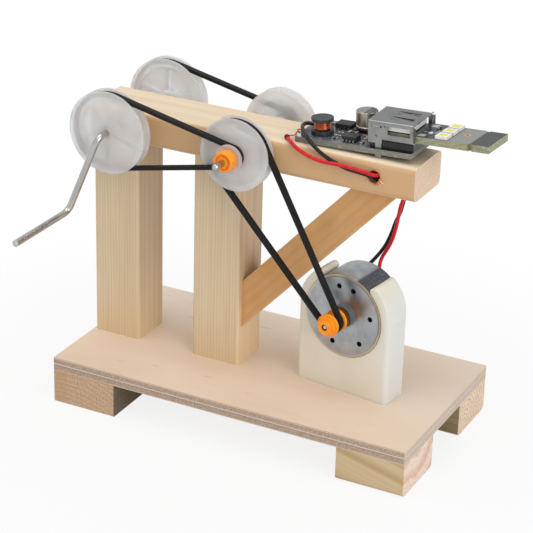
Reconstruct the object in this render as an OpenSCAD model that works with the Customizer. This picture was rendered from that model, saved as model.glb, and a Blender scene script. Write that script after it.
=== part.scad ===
// Hand crank phone charger on a small wooden stand.
// A bent wire crank turns two large pulleys, belts speed the turn up in two steps,
// and a small motor used as a generator feeds a socket board with a plug-in lamp.
// X runs along the beam, Y from the crank handle to the back, Z up.
// The origin lies on the table, under the middle of the whole.

/* [Base] */
// Length of the plywood board
board_l = 115; // [100:1:140]
// Width of the plywood board
board_w = 60.5; // [56:0.5:80]
// Thickness of the plywood board
board_t = 4.2; // [3:0.1:6]
// Length of a foot block along the board
foot_l = 21; // [12:0.5:30]
// Width of a foot block across the board
foot_w = 20.4; // [12:0.2:26]
// Height of a foot block
foot_h = 10.4; // [6:0.2:16]
// Rounding of the long lower edges of a foot block
foot_edge_r = 1.3; // [0.5:0.1:2.5]

/* [Wooden frame] */
// Width of a post along the board
post_w = 15.5; // [12:0.1:18]
// Depth of a post across the board
post_d = 14.6; // [10:0.1:18]
// Height of the posts
post_h = 64.5; // [58:0.5:90]
// Rounding of the upright edges of a post
post_edge_r = 0.9; // [0.3:0.1:2]
// Distance of the left post from the board's left end
left_post_inset = 0.7; // [0.2:0.1:4]
// Distance of the right post from the board's left end
right_post_inset = 34.6; // [32:0.1:38]
// Distance of the posts from the board's front edge
post_setback = 22.9; // [22:0.1:26]
// Length of the top beam
beam_l = 103.5; // [98:0.5:112]
// Depth of the top beam
beam_w = 18.3; // [17:0.1:20]
// Height of the top beam
beam_h = 10.2; // [8:0.1:14]
// Rounding of the long edges of the top beam
beam_edge_r = 2; // [0.5:0.1:2.5]
// Distance of the beam from the board's left end
beam_inset = 1; // [0:0.1:3]
// Distance of the beam from the board's front edge
beam_setback = 20.9; // [20.8:0.1:22]
// Thickness of the slanted brace
brace_t = 10.2; // [8:0.1:12]
// Width of the slanted brace
brace_w = 10.4; // [8:0.1:12]
// Slope of the brace above the level
brace_angle = 47.4; // [46:0.1:50]
// Height of the brace's lower corner above the board
brace_low = 11.8; // [10:0.1:13]
// Diameter of the hole that the leads pass through
lead_hole_d = 3.7; // [3.6:0.1:5]
// Distance of that hole from the beam's right end
lead_hole_inset = 12.2; // [10:0.1:16]

/* [Crank] */
// Diameter of the steel wire of the crank and the axles
wire_d = 2; // [1.6:0.1:2.4]
// Distance of the crank axle from the board's left end
crank_inset = 11.15; // [9:0.05:14]
// Length of the crank arm between its bends
arm_l = 27; // [20:0.5:32]
// Lean of the arm from straight down
arm_lean = 22.7; // [0:0.1:40]
// Length of the crank handle
handle_l = 28.2; // [20:0.2:34]
// Inner radius of the two bends of the crank
bend_r = 1.6; // [1.2:0.1:2.4]
// Gap between the crank arm and the front pulley
arm_gap = 3.5; // [3:0.1:6]
// Rounding of the wire's cut ends
wire_end_r = 0.4; // [0.2:0.05:0.6]

/* [Pulleys] */
// Diameter of the two large crank pulleys
crank_pulley_d = 24.8; // [22:0.1:28]
// Diameter of the large disc of a step pulley
step_disc_d = 21.5; // [18:0.1:24]
// Diameter of the small hub of a step pulley
step_hub_d = 8.2; // [7:0.1:10]
// Thickness of a pulley rim with its two flanges
pulley_t = 4; // [3.8:0.1:4.4]
// Thickness of a rim flange at its edge
flange_t = 0.8; // [0.6:0.05:0.9]
// Depth of a belt groove below the rim
groove_depth = 1.7; // [1.4:0.1:2]
// Thickness of a pulley's closed face
web_t = 1.1; // [0.8:0.1:1.4]
// Wall between a belt groove and the hollow side
rim_wall = 1.3; // [0.8:0.1:1.8]
// Diameter of the inner boss that grips the wire
boss_d = 5; // [4:0.1:6]
// Number of ribs on the hollow side of a crank pulley
rib_count = 5; // [3:1:8]
// Thickness of those ribs
rib_t = 1.1; // [0.8:0.1:1.6]
// Distance of the second axle from the board's left end
axle_inset = 51; // [50:0.1:54]
// Length of the second axle in front of its bush
axle_front_l = 4.6; // [3:0.1:7]
// Length of the second axle behind its back bush
axle_back_l = 3.4; // [2:0.1:5]
// Diameter of an orange end bush
bush_d = 6; // [5:0.1:8]
// Length of an orange end bush
bush_l = 3; // [2:0.1:4]

/* [Belts] */
// Width of a rubber belt
belt_w = 2; // [1.6:0.1:2.1]
// Thickness of a rubber belt
belt_t = 1; // [0.7:0.1:1.3]
// Running gap between a belt and its groove floor
belt_gap = 0.08; // [0.05:0.01:0.15]

/* [Motor] */
// Diameter of the motor
motor_d = 25.5; // [23:0.1:27]
// Length of the motor's can
motor_l = 12.5; // [11:0.1:16]
// Distance of the motor axis from the board's left end
motor_inset = 83.6; // [82:0.1:90]
// Height of the motor axis above the board
motor_rise = 24.25; // [22:0.05:26]
// Distance of the motor's front from the board's front edge
motor_setback = 23.6; // [23.4:0.1:25]
// Turn of the motor and its bracket to the left, seen from above
motor_turn = 8; // [0:0.5:10]
// Diameter of the raised collar round the motor bearing
collar_d = 7; // [6:0.1:8]
// Height of the raised collar
collar_h = 1.2; // [0.8:0.1:1.4]
// Diameter of a vent hole
vent_d = 1.6; // [1.2:0.1:2]
// Radius of the circle of vent holes
vent_ring_r = 9.3; // [8:0.1:9.6]
// Diameter of the motor pulley's flanges
motor_pulley_d = 6.7; // [6:0.1:8]
// Depth of the motor pulley's groove
motor_groove_depth = 1.4; // [1.2:0.1:1.6]
// Length of the motor pulley's stepped nose
motor_nose_l = 1.7; // [1:0.1:3]
// Width of the moulded motor bracket
bracket_w = 31; // [29.5:0.1:34]
// Depth of the moulded motor bracket
bracket_d = 10; // [8:0.1:12]
// Thickness of the bracket's two gripping arms
bracket_arm_t = 2.5; // [2:0.1:3]
// Angle from the top where the gripping arms end
bracket_open = 44; // [36:1:60]
// Gap between the bracket and the motor
bracket_gap = 0.1; // [0.05:0.01:0.2]

/* [Circuit] */
// Length of the circuit board
pcb_l = 35.5; // [35:0.1:38]
// Width of the circuit board
pcb_w = 16.5; // [16.5:0.1:17.5]
// Thickness of the circuit board
pcb_t = 1.6; // [1.2:0.1:2]
// Distance of the circuit board from the board's left end
pcb_inset = 66.6; // [65:0.1:68]
// Distance of the circuit board from the board's front edge
pcb_setback = 23; // [22.5:0.1:23.5]
// Slope of the circuit board along the beam
pcb_tilt = 2.6; // [1.5:0.1:3]
// Length of the socket shell
usb_l = 13.5; // [12.5:0.1:14.5]
// Distance of the socket shell from the circuit board's front edge
usb_setback = 0.7; // [0:0.1:1.2]
// Width of the socket shell
usb_w = 13.1; // [12.8:0.1:13.4]
// Height of the socket shell
usb_h = 5.7; // [5.6:0.1:6.2]
// Wall of the socket shell
usb_wall = 0.35; // [0.25:0.05:0.4]
// Height of the black riser below the socket shell
usb_riser_h = 2.2; // [1.6:0.1:2.6]
// Diameter of the inductor's flanges
inductor_d = 6.4; // [5.6:0.1:7]
// Diameter of the inductor's copper wire
winding_wire_d = 0.32; // [0.26:0.01:0.36]
// Number of turns in the outer layer of the winding
winding_turns = 3; // [2:1:3]
// Diameter of the capacitor can
can_d = 6.3; // [5.5:0.1:6.6]
// Height of the capacitor can
can_h = 5.2; // [4.5:0.1:7]

/* [Lamp] */
// Length of the lamp board outside the socket
lamp_out = 22.8; // [18:0.1:26]
// Length of the lamp board inside the socket
lamp_in = 8.6; // [7:0.1:9]
// Width of the lamp board
lamp_w = 12; // [11:0.1:12.2]
// Thickness of the lamp board
lamp_t = 2; // [1.6:0.1:2]
// Turn of the plugged lamp towards the front
lamp_yaw = 4; // [0:0.1:4]
// Lift of the plugged lamp above the circuit board's slope
lamp_lift = 2; // [0:0.1:2]

/* [Hidden] */
$fn = 64;

// One overrun for every cut that passes through a face
over = 1;
// Gap of a piece that is pressed or glued on another
snug = 0.02;
// Running gap of a turning shaft in its bore
running = 0.06;

// Heights of the stand
board_top = foot_h + board_t;
beam_low = board_top + post_h;
beam_top = beam_low + beam_h;
axle_z = beam_low + beam_h / 2;
beam_back = beam_setback + beam_w;

// Front pulleys, each from the plane of its belt
disc_back_gap = 0.7;
step_disc_front = beam_setback - disc_back_gap - pulley_t;
hub_lip = 0.1;
hub_flange_t = 1.1;
hub_groove_w = pulley_t - 2 * flange_t;
hub_l = hub_flange_t + hub_groove_w + hub_lip;
crank_belt_y = step_disc_front - hub_lip - hub_groove_w / 2;
motor_belt_y = step_disc_front + pulley_t / 2;
front_pulley_y = crank_belt_y - pulley_t / 2;
arm_y = front_pulley_y - arm_gap - wire_d / 2;

// Back pulleys, a mirror image that stands further from the beam
back_disc_gap = 4.7;
back_disc_front = beam_back + back_disc_gap;
back_belt_y = back_disc_front + pulley_t + hub_lip + hub_groove_w / 2;
back_pulley_y = back_belt_y + pulley_t / 2;
back_hub_end = back_disc_front + pulley_t + hub_l;

// Second axle with its bushes
front_bush_y = step_disc_front - hub_l - bush_l;
axle_front = front_bush_y - axle_front_l;
axle_back = back_hub_end + bush_l + axle_back_l;
crank_tail = 0.6;

// Belt radii on the groove floors
crank_floor_r = crank_pulley_d / 2 - groove_depth;
disc_floor_r = step_disc_d / 2 - groove_depth;
hub_floor_r = step_hub_d / 2 - groove_depth;
motor_floor_r = motor_pulley_d / 2 - motor_groove_depth;
first_ratio = (crank_floor_r + belt_gap + belt_t / 2) / (hub_floor_r + belt_gap + belt_t / 2);

// Motor. Its shaft is turned a little, so the belt needs a wider groove and a larger ring there
motor_z = board_top + motor_rise;
motor_wrap_r = motor_floor_r / cos(motor_turn) + belt_w / 2 * sin(motor_turn);
second_ratio = (disc_floor_r + belt_gap + belt_t / 2) / (motor_wrap_r + belt_gap + belt_t / 2);
echo(axle_turns = first_ratio, motor_turns = first_ratio * second_ratio);
motor_side_gap = 0.15;
motor_groove_w = belt_w + motor_pulley_d * sin(motor_turn) + 2 * motor_side_gap;
motor_belt_x = motor_inset - (motor_setback - motor_belt_y) * tan(motor_turn);
motor_r = motor_d / 2;
can_wall = 0.7;
plate_t = 1;
motor_flange_t = 1;
motor_pulley_l = 2 * motor_flange_t + motor_groove_w;
motor_pulley_low = -(motor_setback - motor_belt_y) / cos(motor_turn) - motor_pulley_l / 2;
shaft_recess = 0.5;
magnet_t = 2;
armature_r = motor_r - can_wall - magnet_t - 0.03 * motor_d;
cap_t = 1.5;
terminal_w = 2;
terminal_t = 0.5;
terminal_l = 3;
terminal_x_share = 0.12;
terminal_rise_share = 0.26;
joint_d = 2;
joint_h = 0.7;

// Places on the circuit board, from its left end and front edge
usb_u = 22.3;
usb_middle = usb_setback + usb_w / 2;
mouth_u = usb_u + usb_l;
shell_low = pcb_t + usb_riser_h;
shell_r = 0.7;
tongue_rise = 2.6;
tongue_low = shell_low + usb_wall + tongue_rise;
tongue_t = 1.6;
contact_t = 0.12;
contact_w = 1;
contact_spacing = 2.2;
inductor_u = 6.3;
inductor_v = 5.2;
flange_low_t = 1.4;
flange_top_t = 0.8;
winding_gap = 2.7;
spool_d = 3;
can_u = 16.4;
can_v = 13.1;

// Where the whole lies about the origin
lamp_slope = pcb_tilt + lamp_lift;
lamp_tip_x = pcb_inset + mouth_u * cos(pcb_tilt) + lamp_out * cos(lamp_slope);
crank_side_x = crank_inset - crank_pulley_d / 2;
stand_x = -(crank_side_x + lamp_tip_x) / 2;
stand_y = -(arm_y - handle_l + board_w) / 2;

// Leads: insulation diameter and sides of the tube
lead_d = 1.1;
lead_sides = 8;
// Gap between a lead's lower end and its solder joint
lead_rest = 0.25;
// Each lead has hand-laid points in three stretches: the first from the corner where the
// circuit board meets the beam's top, the second from the middle of the hole's front end
lead_start = [pcb_inset, beam_setback, beam_top];
lead_hole_rise = 0.4;
lead_hole = [beam_inset + beam_l - lead_hole_inset, beam_setback, axle_z + lead_hole_rise];
red_top = [[-2.7, 2.7, 0.65], [-1.9, 1.9, 0.65], [-1.1, 1.1, 0.65], [-0.3, 0.3, 0.6],
    [0.6, -0.5, 0.5], [1.7, -1.2, 0.1], [3, -1.4, -0.6], [4.9, -1.5, -1.4], [7.2, -1.6, -2.1],
    [9.6, -1.8, -2.4], [12.2, -1.9, -2.5], [16.4, -2, -2.4], [21, -2.2, -2.6]];
red_inside = [[-2, -2.3, 1.9], [-0.6, -2.1, 1.6], [0.4, -1.6, 1.3], [0.9, -0.6, 0.9],
    [1, 0.8, 0.6], [1, 5, 0.5], [1, 13, 0.5]];
black_top = [[2.5, 10.7, 2.75], [1.4, 10.7, 2.8], [0.3, 10.4, 2.9], [-0.4, 9.6, 2.9],
    [-0.5, 8.5, 2.8], [-0.1, 7.2, 2.7], [0.8, 5.7, 2.7], [2, 4, 2.6], [3.5, 2.2, 2.5],
    [5, 0.6, 2.2], [6.6, -0.4, 1.5], [8.2, -0.8, 0.5], [10.5, -0.9, -0.9], [13.5, -0.9, -2.2],
    [17.7, -0.9, -3.5]];
black_inside = [[-4.6, -1, 0.9], [-2.4, -1, 0.7], [-0.9, -0.6, 0.3], [-0.3, 0.4, -0.1],
    [-0.1, 2, -0.3], [-0.1, 9, -0.4], [-0.1, 16, -0.4]];
// The third stretch drops behind the beam to a motor terminal: offsets to the right and to
// the back of the straight line there, each with its share of the way down
red_drop_shares = [[1, 1.6, 0.01], [1, 2, 0.03], [1.4, 2.4, 0.07], [1.5, 2.6, 0.12],
    [1.8, 2.6, 0.19], [2.1, 2.5, 0.27], [2.1, 2.5, 0.35], [1.7, 2.5, 0.42], [1.5, 2.7, 0.49],
    [1.4, 2.8, 0.56], [1.1, 3, 0.64], [0.5, 3.2, 0.72], [-0.4, 3.3, 0.79], [-1.3, 3.1, 0.85],
    [-1.5, 2.6, 0.89], [-1.2, 1.7, 0.92], [-0.6, 0.7, 0.95], [-0.1, 0.1, 0.98], [0, 0, 1]];
black_drop_shares = [[0, 1.6, 0.02], [0.2, 2.6, 0.04], [0.7, 3.4, 0.07], [1.3, 3.8, 0.12],
    [2.2, 3.9, 0.19], [3.2, 3.9, 0.27], [4, 3.6, 0.35], [4.3, 3.4, 0.42], [4.3, 3.4, 0.49],
    [3.9, 3.5, 0.56], [3.8, 3.6, 0.64], [3.5, 3.7, 0.72], [3, 3.7, 0.79], [2.2, 3.3, 0.85],
    [1.4, 2.4, 0.9], [0.6, 1.3, 0.94], [0.1, 0.2, 0.98], [0, 0, 1]];
function dropped(points, end) = [for (p = points) let (
    from = [lead_hole[0], beam_back, lead_hole[2]])
    [(1 - p[2]) * from[0] + p[2] * end[0] + p[0], (1 - p[2]) * from[1] + p[2] * end[1] + p[1],
        (1 - p[2]) * from[2] + p[2] * end[2]]];
function lead_end(side) = let (across = side * motor_d * terminal_x_share,
    behind = motor_l + terminal_l / 2)
    [motor_inset + across * cos(motor_turn) + behind * sin(motor_turn),
        motor_setback + behind * cos(motor_turn) - across * sin(motor_turn),
        motor_z + motor_d * terminal_rise_share + joint_h + lead_rest];
red_route = concat([for (p = red_top) lead_start + p], [for (p = red_inside) lead_hole + p],
    dropped(red_drop_shares, lead_end(1)));
black_route = concat([for (p = black_top) lead_start + p],
    [for (p = black_inside) lead_hole + p], dropped(black_drop_shares, lead_end(-1)));

// Placing: the stand's front left corner, and axes that point to the front or back
module on_stand() translate([stand_x, stand_y, 0]) children();
module slab(front, depth) translate([0, front + depth, 0]) rotate([90, 0, 0])
    linear_extrude(depth) children();
module from_front(x, front, z) translate([x, front, z]) rotate([-90, 0, 0]) children();
module from_back(x, back, z) translate([x, back, z]) rotate([90, 0, 0]) children();
module on_circuit() on_stand() translate([pcb_inset, pcb_setback, beam_top + snug])
    rotate([0, -pcb_tilt, 0]) children();
module on_lamp() on_circuit()
    translate([mouth_u, usb_middle, shell_low + usb_wall + lamp_in * sin(lamp_lift) + snug])
    rotate([0, -lamp_lift, 0]) rotate([0, 0, -lamp_yaw]) children();

// A rectangle with its corners rounded
module round_rect(w, h, r) {
    translate([r, 0]) square([w - 2 * r, h]);
    translate([0, r]) square([w, h - 2 * r]);
    for (x = [r, w - r], y = [r, h - r]) translate([x, y]) circle(r);
}

// Plywood base
module base_board() on_stand() color("burlywood")
    translate([0, 0, foot_h]) cube([board_l, board_w, board_t]);

// A foot block whose lower long edges are rounded, grain along X
module foot_along_x() rotate([90, 0, 90]) linear_extrude(foot_l) difference() {
    square([foot_w, foot_h]);
    for (side = [0, 1]) translate([side * foot_w, 0]) mirror([side, 0]) difference() {
        translate([-over, -over]) square([foot_edge_r + over, foot_edge_r + over]);
        translate([foot_edge_r, foot_edge_r]) circle(foot_edge_r);
    }
}
module foot_block(x, y) translate([x, y, 0]) cube([foot_l, foot_w, foot_h]);
module foot_front_left() on_stand() color("tan") foot_block(0, 0);
module foot_front_right() on_stand() color("burlywood")
    translate([board_l - foot_l, 0, 0]) foot_along_x();
module foot_back_left() on_stand() color("tan") foot_block(0, board_w - foot_w);
module foot_back_right() on_stand() color("burlywood")
    translate([board_l - foot_l, board_w - foot_w, 0]) foot_along_x();

// Upright posts
module post(inset) translate([inset, post_setback, board_top])
    linear_extrude(post_h) round_rect(post_w, post_d, post_edge_r);
module left_post() on_stand() color("wheat") post(left_post_inset);
module right_post() on_stand() color("wheat") post(right_post_inset);

// Top beam with the two axle holes and the hole for the leads
module cross_hole(x, z, d) from_front(x, beam_setback - over, z)
    cylinder(d = d, h = beam_w + 2 * over);
module top_beam() on_stand() color("wheat") difference() {
    translate([beam_inset, beam_setback, beam_low]) rotate([90, 0, 90])
        linear_extrude(beam_l) round_rect(beam_w, beam_h, beam_edge_r);
    cross_hole(crank_inset, axle_z, wire_d + 2 * running);
    cross_hole(axle_inset, axle_z, wire_d + 2 * running);
    cross_hole(lead_hole[0], lead_hole[2], lead_hole_d);
}

// Slanted brace, cut upright at the post and level at the beam
brace_x = right_post_inset + post_w;
brace_rise = beam_low - board_top - brace_low;
brace_side = brace_t / cos(brace_angle);
brace_top_l = brace_t / sin(brace_angle);
module brace() on_stand() color("peru") slab(post_setback + (post_d - brace_w) / 2, brace_w)
    polygon([[brace_x, board_top + brace_low],
        [brace_x + brace_rise / tan(brace_angle), beam_low],
        [brace_x + brace_rise / tan(brace_angle) - brace_top_l, beam_low],
        [brace_x, board_top + brace_low + brace_side]]);

// Crank: one wire bent at the arm's two ends
bend_c = bend_r + wire_d / 2;
handle_x = crank_inset - arm_l * sin(arm_lean);
handle_z = axle_z - arm_l * cos(arm_lean);
module wire(length) cylinder(d = wire_d, h = length);
module wire_tip() rotate_extrude() polygon([[0, 0], [wire_d / 2, 0],
    [wire_d / 2, wire_end_r], [wire_d / 2 - wire_end_r, 2 * wire_end_r],
    [0, 2 * wire_end_r]]);
// The bends are a hair thicker than the wire, whose straight lengths start inside them
bury = 0.1;
module elbow() rotate([90, 0, 0]) rotate_extrude(angle = 90)
    translate([bend_c, 0]) circle(d = wire_d + 2 * snug, $fn = 48);
module crank_wire() on_stand() color("silver") {
    // Axle from the first bend through both pulleys
    from_front(crank_inset, arm_y + bend_c - bury, axle_z)
        wire(back_pulley_y + crank_tail - arm_y - bend_c + bury);
    from_front(crank_inset, back_pulley_y + crank_tail, axle_z) wire_tip();
    // Arm, drawn in its own leaning plane
    translate([crank_inset, arm_y, axle_z]) rotate([0, arm_lean, 0]) {
        translate([0, bend_c, -bend_c]) rotate([0, 0, -90]) elbow();
        translate([0, 0, bend_c - bury - arm_l]) wire(arm_l - 2 * (bend_c - bury));
        translate([0, -bend_c, bend_c - arm_l]) rotate([180, 0, 90]) elbow();
    }
    // Handle
    from_back(handle_x, arm_y - bend_c + bury, handle_z)
        wire(handle_l - bend_c + bury - 2 * wire_end_r);
    from_back(handle_x, arm_y - handle_l + 2 * wire_end_r, handle_z) wire_tip();
}

// A grooved rim, from its closed face at z = 0 to its hollow side
module grooved_rim(r, face) {
    slope = flange_t * 0.2;
    inner = r - groove_depth - rim_wall;
    rotate_extrude($fn = 96) polygon([[wire_d / 2 + snug, 0], [r, 0], [r, flange_t - slope],
        [r - groove_depth, flange_t], [r - groove_depth, pulley_t - flange_t],
        [r, pulley_t - flange_t + slope], [r, pulley_t], [inner, pulley_t],
        [inner, face], [boss_d / 2, face], [boss_d / 2, pulley_t],
        [wire_d / 2 + snug, pulley_t]]);
}
mark_d = 1.4;
mark_depth = 0.15;
mark_r_share = 0.5;
module crank_pulley() difference() {
    union() {
        grooved_rim(crank_pulley_d / 2, web_t);
        for (i = [0 : rib_count - 1]) rotate([0, 0, i * 360 / rib_count - 52])
            translate([boss_d / 2 - snug, -rib_t / 2, web_t - snug])
            cube([crank_floor_r - rim_wall - boss_d / 2 + 2 * snug, rib_t,
                pulley_t - 2 * web_t]);
    }
    for (a = [-35, 145]) rotate([0, 0, a])
        translate([crank_pulley_d / 2 * mark_r_share, 0, -over])
        cylinder(d = mark_d, h = mark_depth + over);
}
module front_crank_pulley() on_stand() color("gainsboro")
    from_front(crank_inset, front_pulley_y, axle_z) crank_pulley();
module back_crank_pulley() on_stand() color("gainsboro")
    from_back(crank_inset, back_pulley_y, axle_z) crank_pulley();

// Step pulley: a large disc and, on its closed face, a small grooved hub
module step_pulley() {
    hub_r = step_hub_d / 2;
    translate([0, 0, hub_l]) grooved_rim(step_disc_d / 2, web_t);
    rotate_extrude() polygon([[wire_d / 2 + snug, 0], [hub_r, 0],
        [hub_r, hub_flange_t], [hub_floor_r, hub_flange_t], [hub_floor_r, hub_l - hub_lip],
        [hub_r, hub_l - hub_lip], [hub_r, hub_l + web_t / 2],
        [wire_d / 2 + snug, hub_l + web_t / 2]]);
}
module front_step_pulley() on_stand() color("gainsboro")
    from_front(axle_inset, step_disc_front - hub_l, axle_z) step_pulley();
module back_step_pulley() on_stand() color("gainsboro")
    from_back(axle_inset, back_hub_end, axle_z) step_pulley();

// Second axle and the two orange bushes that hold its pulleys
module driven_axle() on_stand() color("silver") {
    from_front(axle_inset, axle_front + 2 * wire_end_r, axle_z)
        wire(axle_back - axle_front - 4 * wire_end_r);
    from_back(axle_inset, axle_front + 2 * wire_end_r, axle_z) wire_tip();
    from_front(axle_inset, axle_back - 2 * wire_end_r, axle_z) wire_tip();
}
module end_bush() {
    dish = bush_l * 0.25;
    rotate_extrude() polygon([[wire_d / 2 + snug, 0], [wire_d * 0.8, 0],
        [wire_d * 0.8, dish], [bush_d * 0.34, dish], [bush_d * 0.4, 0],
        [bush_d * 0.46, 0], [bush_d / 2, dish / 2], [bush_d / 2, bush_l],
        [wire_d / 2 + snug, bush_l]]);
}
module front_bush() on_stand() color("darkorange")
    from_front(axle_inset, front_bush_y, axle_z) end_bush();
module back_bush() on_stand() color("darkorange")
    from_back(axle_inset, back_hub_end + bush_l, axle_z) end_bush();

function toward(c, r, a) = c + r * [cos(a), sin(a)];

// Belt: the band between two outlines that wrap the same pair of wheels
module wrap(c1, r1, c2, r2) hull() {
    translate(c1) circle(r1, $fn = 96);
    translate(c2) circle(r2, $fn = 96);
}
module belt(c1, floor1, c2, floor2, middle) slab(middle - belt_w / 2, belt_w) difference() {
    wrap(c1, floor1 + belt_gap + belt_t, c2, floor2 + belt_gap + belt_t);
    wrap(c1, floor1 + belt_gap, c2, floor2 + belt_gap);
}
crank_c = [crank_inset, axle_z];
axle_c = [axle_inset, axle_z];
motor_c = [motor_belt_x, motor_z];
module front_crank_belt() on_stand() color("dimgray")
    belt(crank_c, crank_floor_r, axle_c, hub_floor_r, crank_belt_y);
module back_crank_belt() on_stand() color("dimgray")
    belt(crank_c, crank_floor_r, axle_c, hub_floor_r, back_belt_y);
module motor_belt() on_stand() color("dimgray")
    belt(axle_c, disc_floor_r, motor_c, motor_wrap_r, motor_belt_y);

// Motor, drawn from its front face towards the back
module by_motor() on_stand() translate([motor_inset, motor_setback, 0])
    rotate([0, 0, -motor_turn]) children();
module on_motor() by_motor() from_front(0, 0, motor_z) children();
module ring(outer_r, inner_r, low, high) translate([0, 0, low]) difference() {
    cylinder(r = outer_r, h = high - low);
    translate([0, 0, -over]) cylinder(r = inner_r, h = high - low + 2 * over);
}
shaft_bore_r = wire_d / 2 + running;
bearing_r = 2.1;
module motor_pulley() color("darkorange") on_motor()
    translate([0, 0, motor_pulley_low - motor_nose_l]) {
    r = motor_pulley_d / 2;
    step = motor_nose_l * 0.5;
    rim = motor_nose_l + motor_flange_t;
    rotate_extrude() polygon([[wire_d / 2 + snug, 0], [r * 0.62, 0], [r * 0.62, step],
        [r * 0.8, step], [r * 0.8, motor_nose_l], [r, motor_nose_l], [r, rim],
        [motor_floor_r, rim], [motor_floor_r, rim + motor_groove_w],
        [r, rim + motor_groove_w], [r, rim + motor_groove_w + motor_flange_t],
        [wire_d / 2 + snug, rim + motor_groove_w + motor_flange_t]]);
}
module motor_shaft() color("silver") on_motor()
    translate([0, 0, motor_pulley_low - motor_nose_l + shaft_recess])
    wire(motor_l - cap_t / 2 - motor_pulley_low + motor_nose_l - shaft_recess);
module motor_can() color("silver") on_motor()
    ring(motor_r, motor_r - can_wall, plate_t / 4, motor_l);
module vent(angle) rotate([0, 0, -angle]) translate([vent_ring_r, 0, -over])
    cylinder(d = vent_d, h = plate_t + 2 * over);
module motor_front_plate() color("lightgray") on_motor() difference() {
    union() {
        cylinder(r = motor_r - can_wall - snug, h = plate_t);
        translate([0, 0, -collar_h]) cylinder(d = collar_d, h = collar_h + plate_t / 2);
    }
    translate([0, 0, -collar_h - over])
        cylinder(r = bearing_r + snug, h = collar_h + plate_t + 2 * over);
    for (angle = [10 : 60 : 310]) vent(angle);
    vent(100);
}
module motor_bearing() color("goldenrod") on_motor()
    ring(bearing_r, shaft_bore_r, -collar_h * 0.8, plate_t * 1.5);
module motor_rear_bearing() color("goldenrod") on_motor()
    ring(bearing_r, shaft_bore_r, motor_l - cap_t * 1.1, motor_l - cap_t * 0.2);
module motor_magnet() color("dimgray") on_motor()
    ring(motor_r - can_wall - snug, motor_r - can_wall - magnet_t, plate_t * 2,
        motor_l - cap_t - plate_t);

// Armature: three poles on the shaft, with a coil round each
pole_low = plate_t * 2.4;
pole_high = motor_l - cap_t - plate_t * 2.4;
arm_w = armature_r * 0.24;
module armature_face() difference() {
    circle(armature_r);
    difference() {
        circle(armature_r * 0.8);
        circle(armature_r * 0.3);
        for (a = [90, 210, 330]) rotate(a) translate([0, -arm_w / 2]) square([armature_r, arm_w]);
    }
    for (a = [30, 150, 270]) rotate(a) translate([armature_r / 2, -arm_w / 3])
        square([armature_r, arm_w * 2 / 3]);
    circle(wire_d / 2 + snug);
}
module motor_armature() color("slategray") on_motor()
    translate([0, 0, pole_low]) linear_extrude(pole_high - pole_low) armature_face();
module motor_windings() color("chocolate") on_motor() for (a = [90, 210, 330]) rotate([0, 0, a])
    translate([armature_r * 0.36, 0, pole_low]) linear_extrude(pole_high - pole_low)
    for (side = [-1, 1]) scale([1, side]) translate([0, arm_w / 2 + snug])
        square([armature_r * 0.38, arm_w * 0.6]);
module motor_commutator() color("orange") on_motor()
    ring(wire_d * 0.9, wire_d / 2 + snug, pole_high + snug, motor_l - cap_t * 1.25);
module motor_brushes() color("brown") on_motor() for (side = [0, 180]) rotate([0, 0, side])
    translate([wire_d * 0.9 + running, -wire_d / 4, pole_high + plate_t])
    cube([wire_d, wire_d / 2, motor_l - cap_t * 1.1 - pole_high - plate_t - snug]);
module motor_end_cap() color("dimgray") on_motor()
    ring(motor_r - can_wall - snug, bearing_r + snug, motor_l - cap_t, motor_l - snug);
module motor_terminals() color("gold") on_motor() for (side = [-1, 1])
    translate([side * motor_d * terminal_x_share - terminal_w / 2,
        -motor_d * terminal_rise_share, motor_l])
    cube([terminal_w, terminal_t, terminal_l]);

// Moulded bracket: a block whose two arms reach round the motor
bracket_inner_r = motor_r + bracket_gap;
bracket_outer_r = bracket_inner_r + bracket_arm_t;
bracket_edge_r = 1.4;
bracket_setback = 0.3;
module bracket_face() {
    difference() {
        union() {
            translate([-bracket_w / 2, board_top - motor_z])
                square([bracket_w, motor_z - board_top]);
            circle(bracket_outer_r, $fn = 96);
        }
        circle(bracket_inner_r, $fn = 96);
        polygon([[0, 0], toward([0, 0], bracket_w, 90 + bracket_open),
            [0, 2 * bracket_w], toward([0, 0], bracket_w, 90 - bracket_open)]);
    }
    for (side = [-1, 1]) translate(toward([0, 0], bracket_inner_r + bracket_arm_t / 2,
        90 + side * bracket_open)) circle(d = bracket_arm_t);
}
module motor_bracket() by_motor() color("ivory") intersection() {
    slab(bracket_setback, bracket_d) translate([0, motor_z]) bracket_face();
    translate([-bracket_w / 2, bracket_setback, board_top])
        linear_extrude(motor_rise + 2 * bracket_outer_r)
        round_rect(bracket_w, bracket_d, bracket_edge_r);
}

// Circuit board
pcb_corner_r = 0.5;
module circuit_board() on_circuit() color("darkslategray") difference() {
    linear_extrude(pcb_t) round_rect(pcb_l, pcb_w, pcb_corner_r);
    for (i = [0 : 3]) translate([contact_back, contact_v(i) - snug, -over])
        cube([contact_w, contact_w + 2 * snug, pcb_t + 2 * over]);
    for (v = tail_places) translate([leg_u - snug, v - snug, -over])
        cube([leg_w + 2 * snug, usb_wall + 2 * snug, pcb_t + 2 * over]);
}

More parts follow.
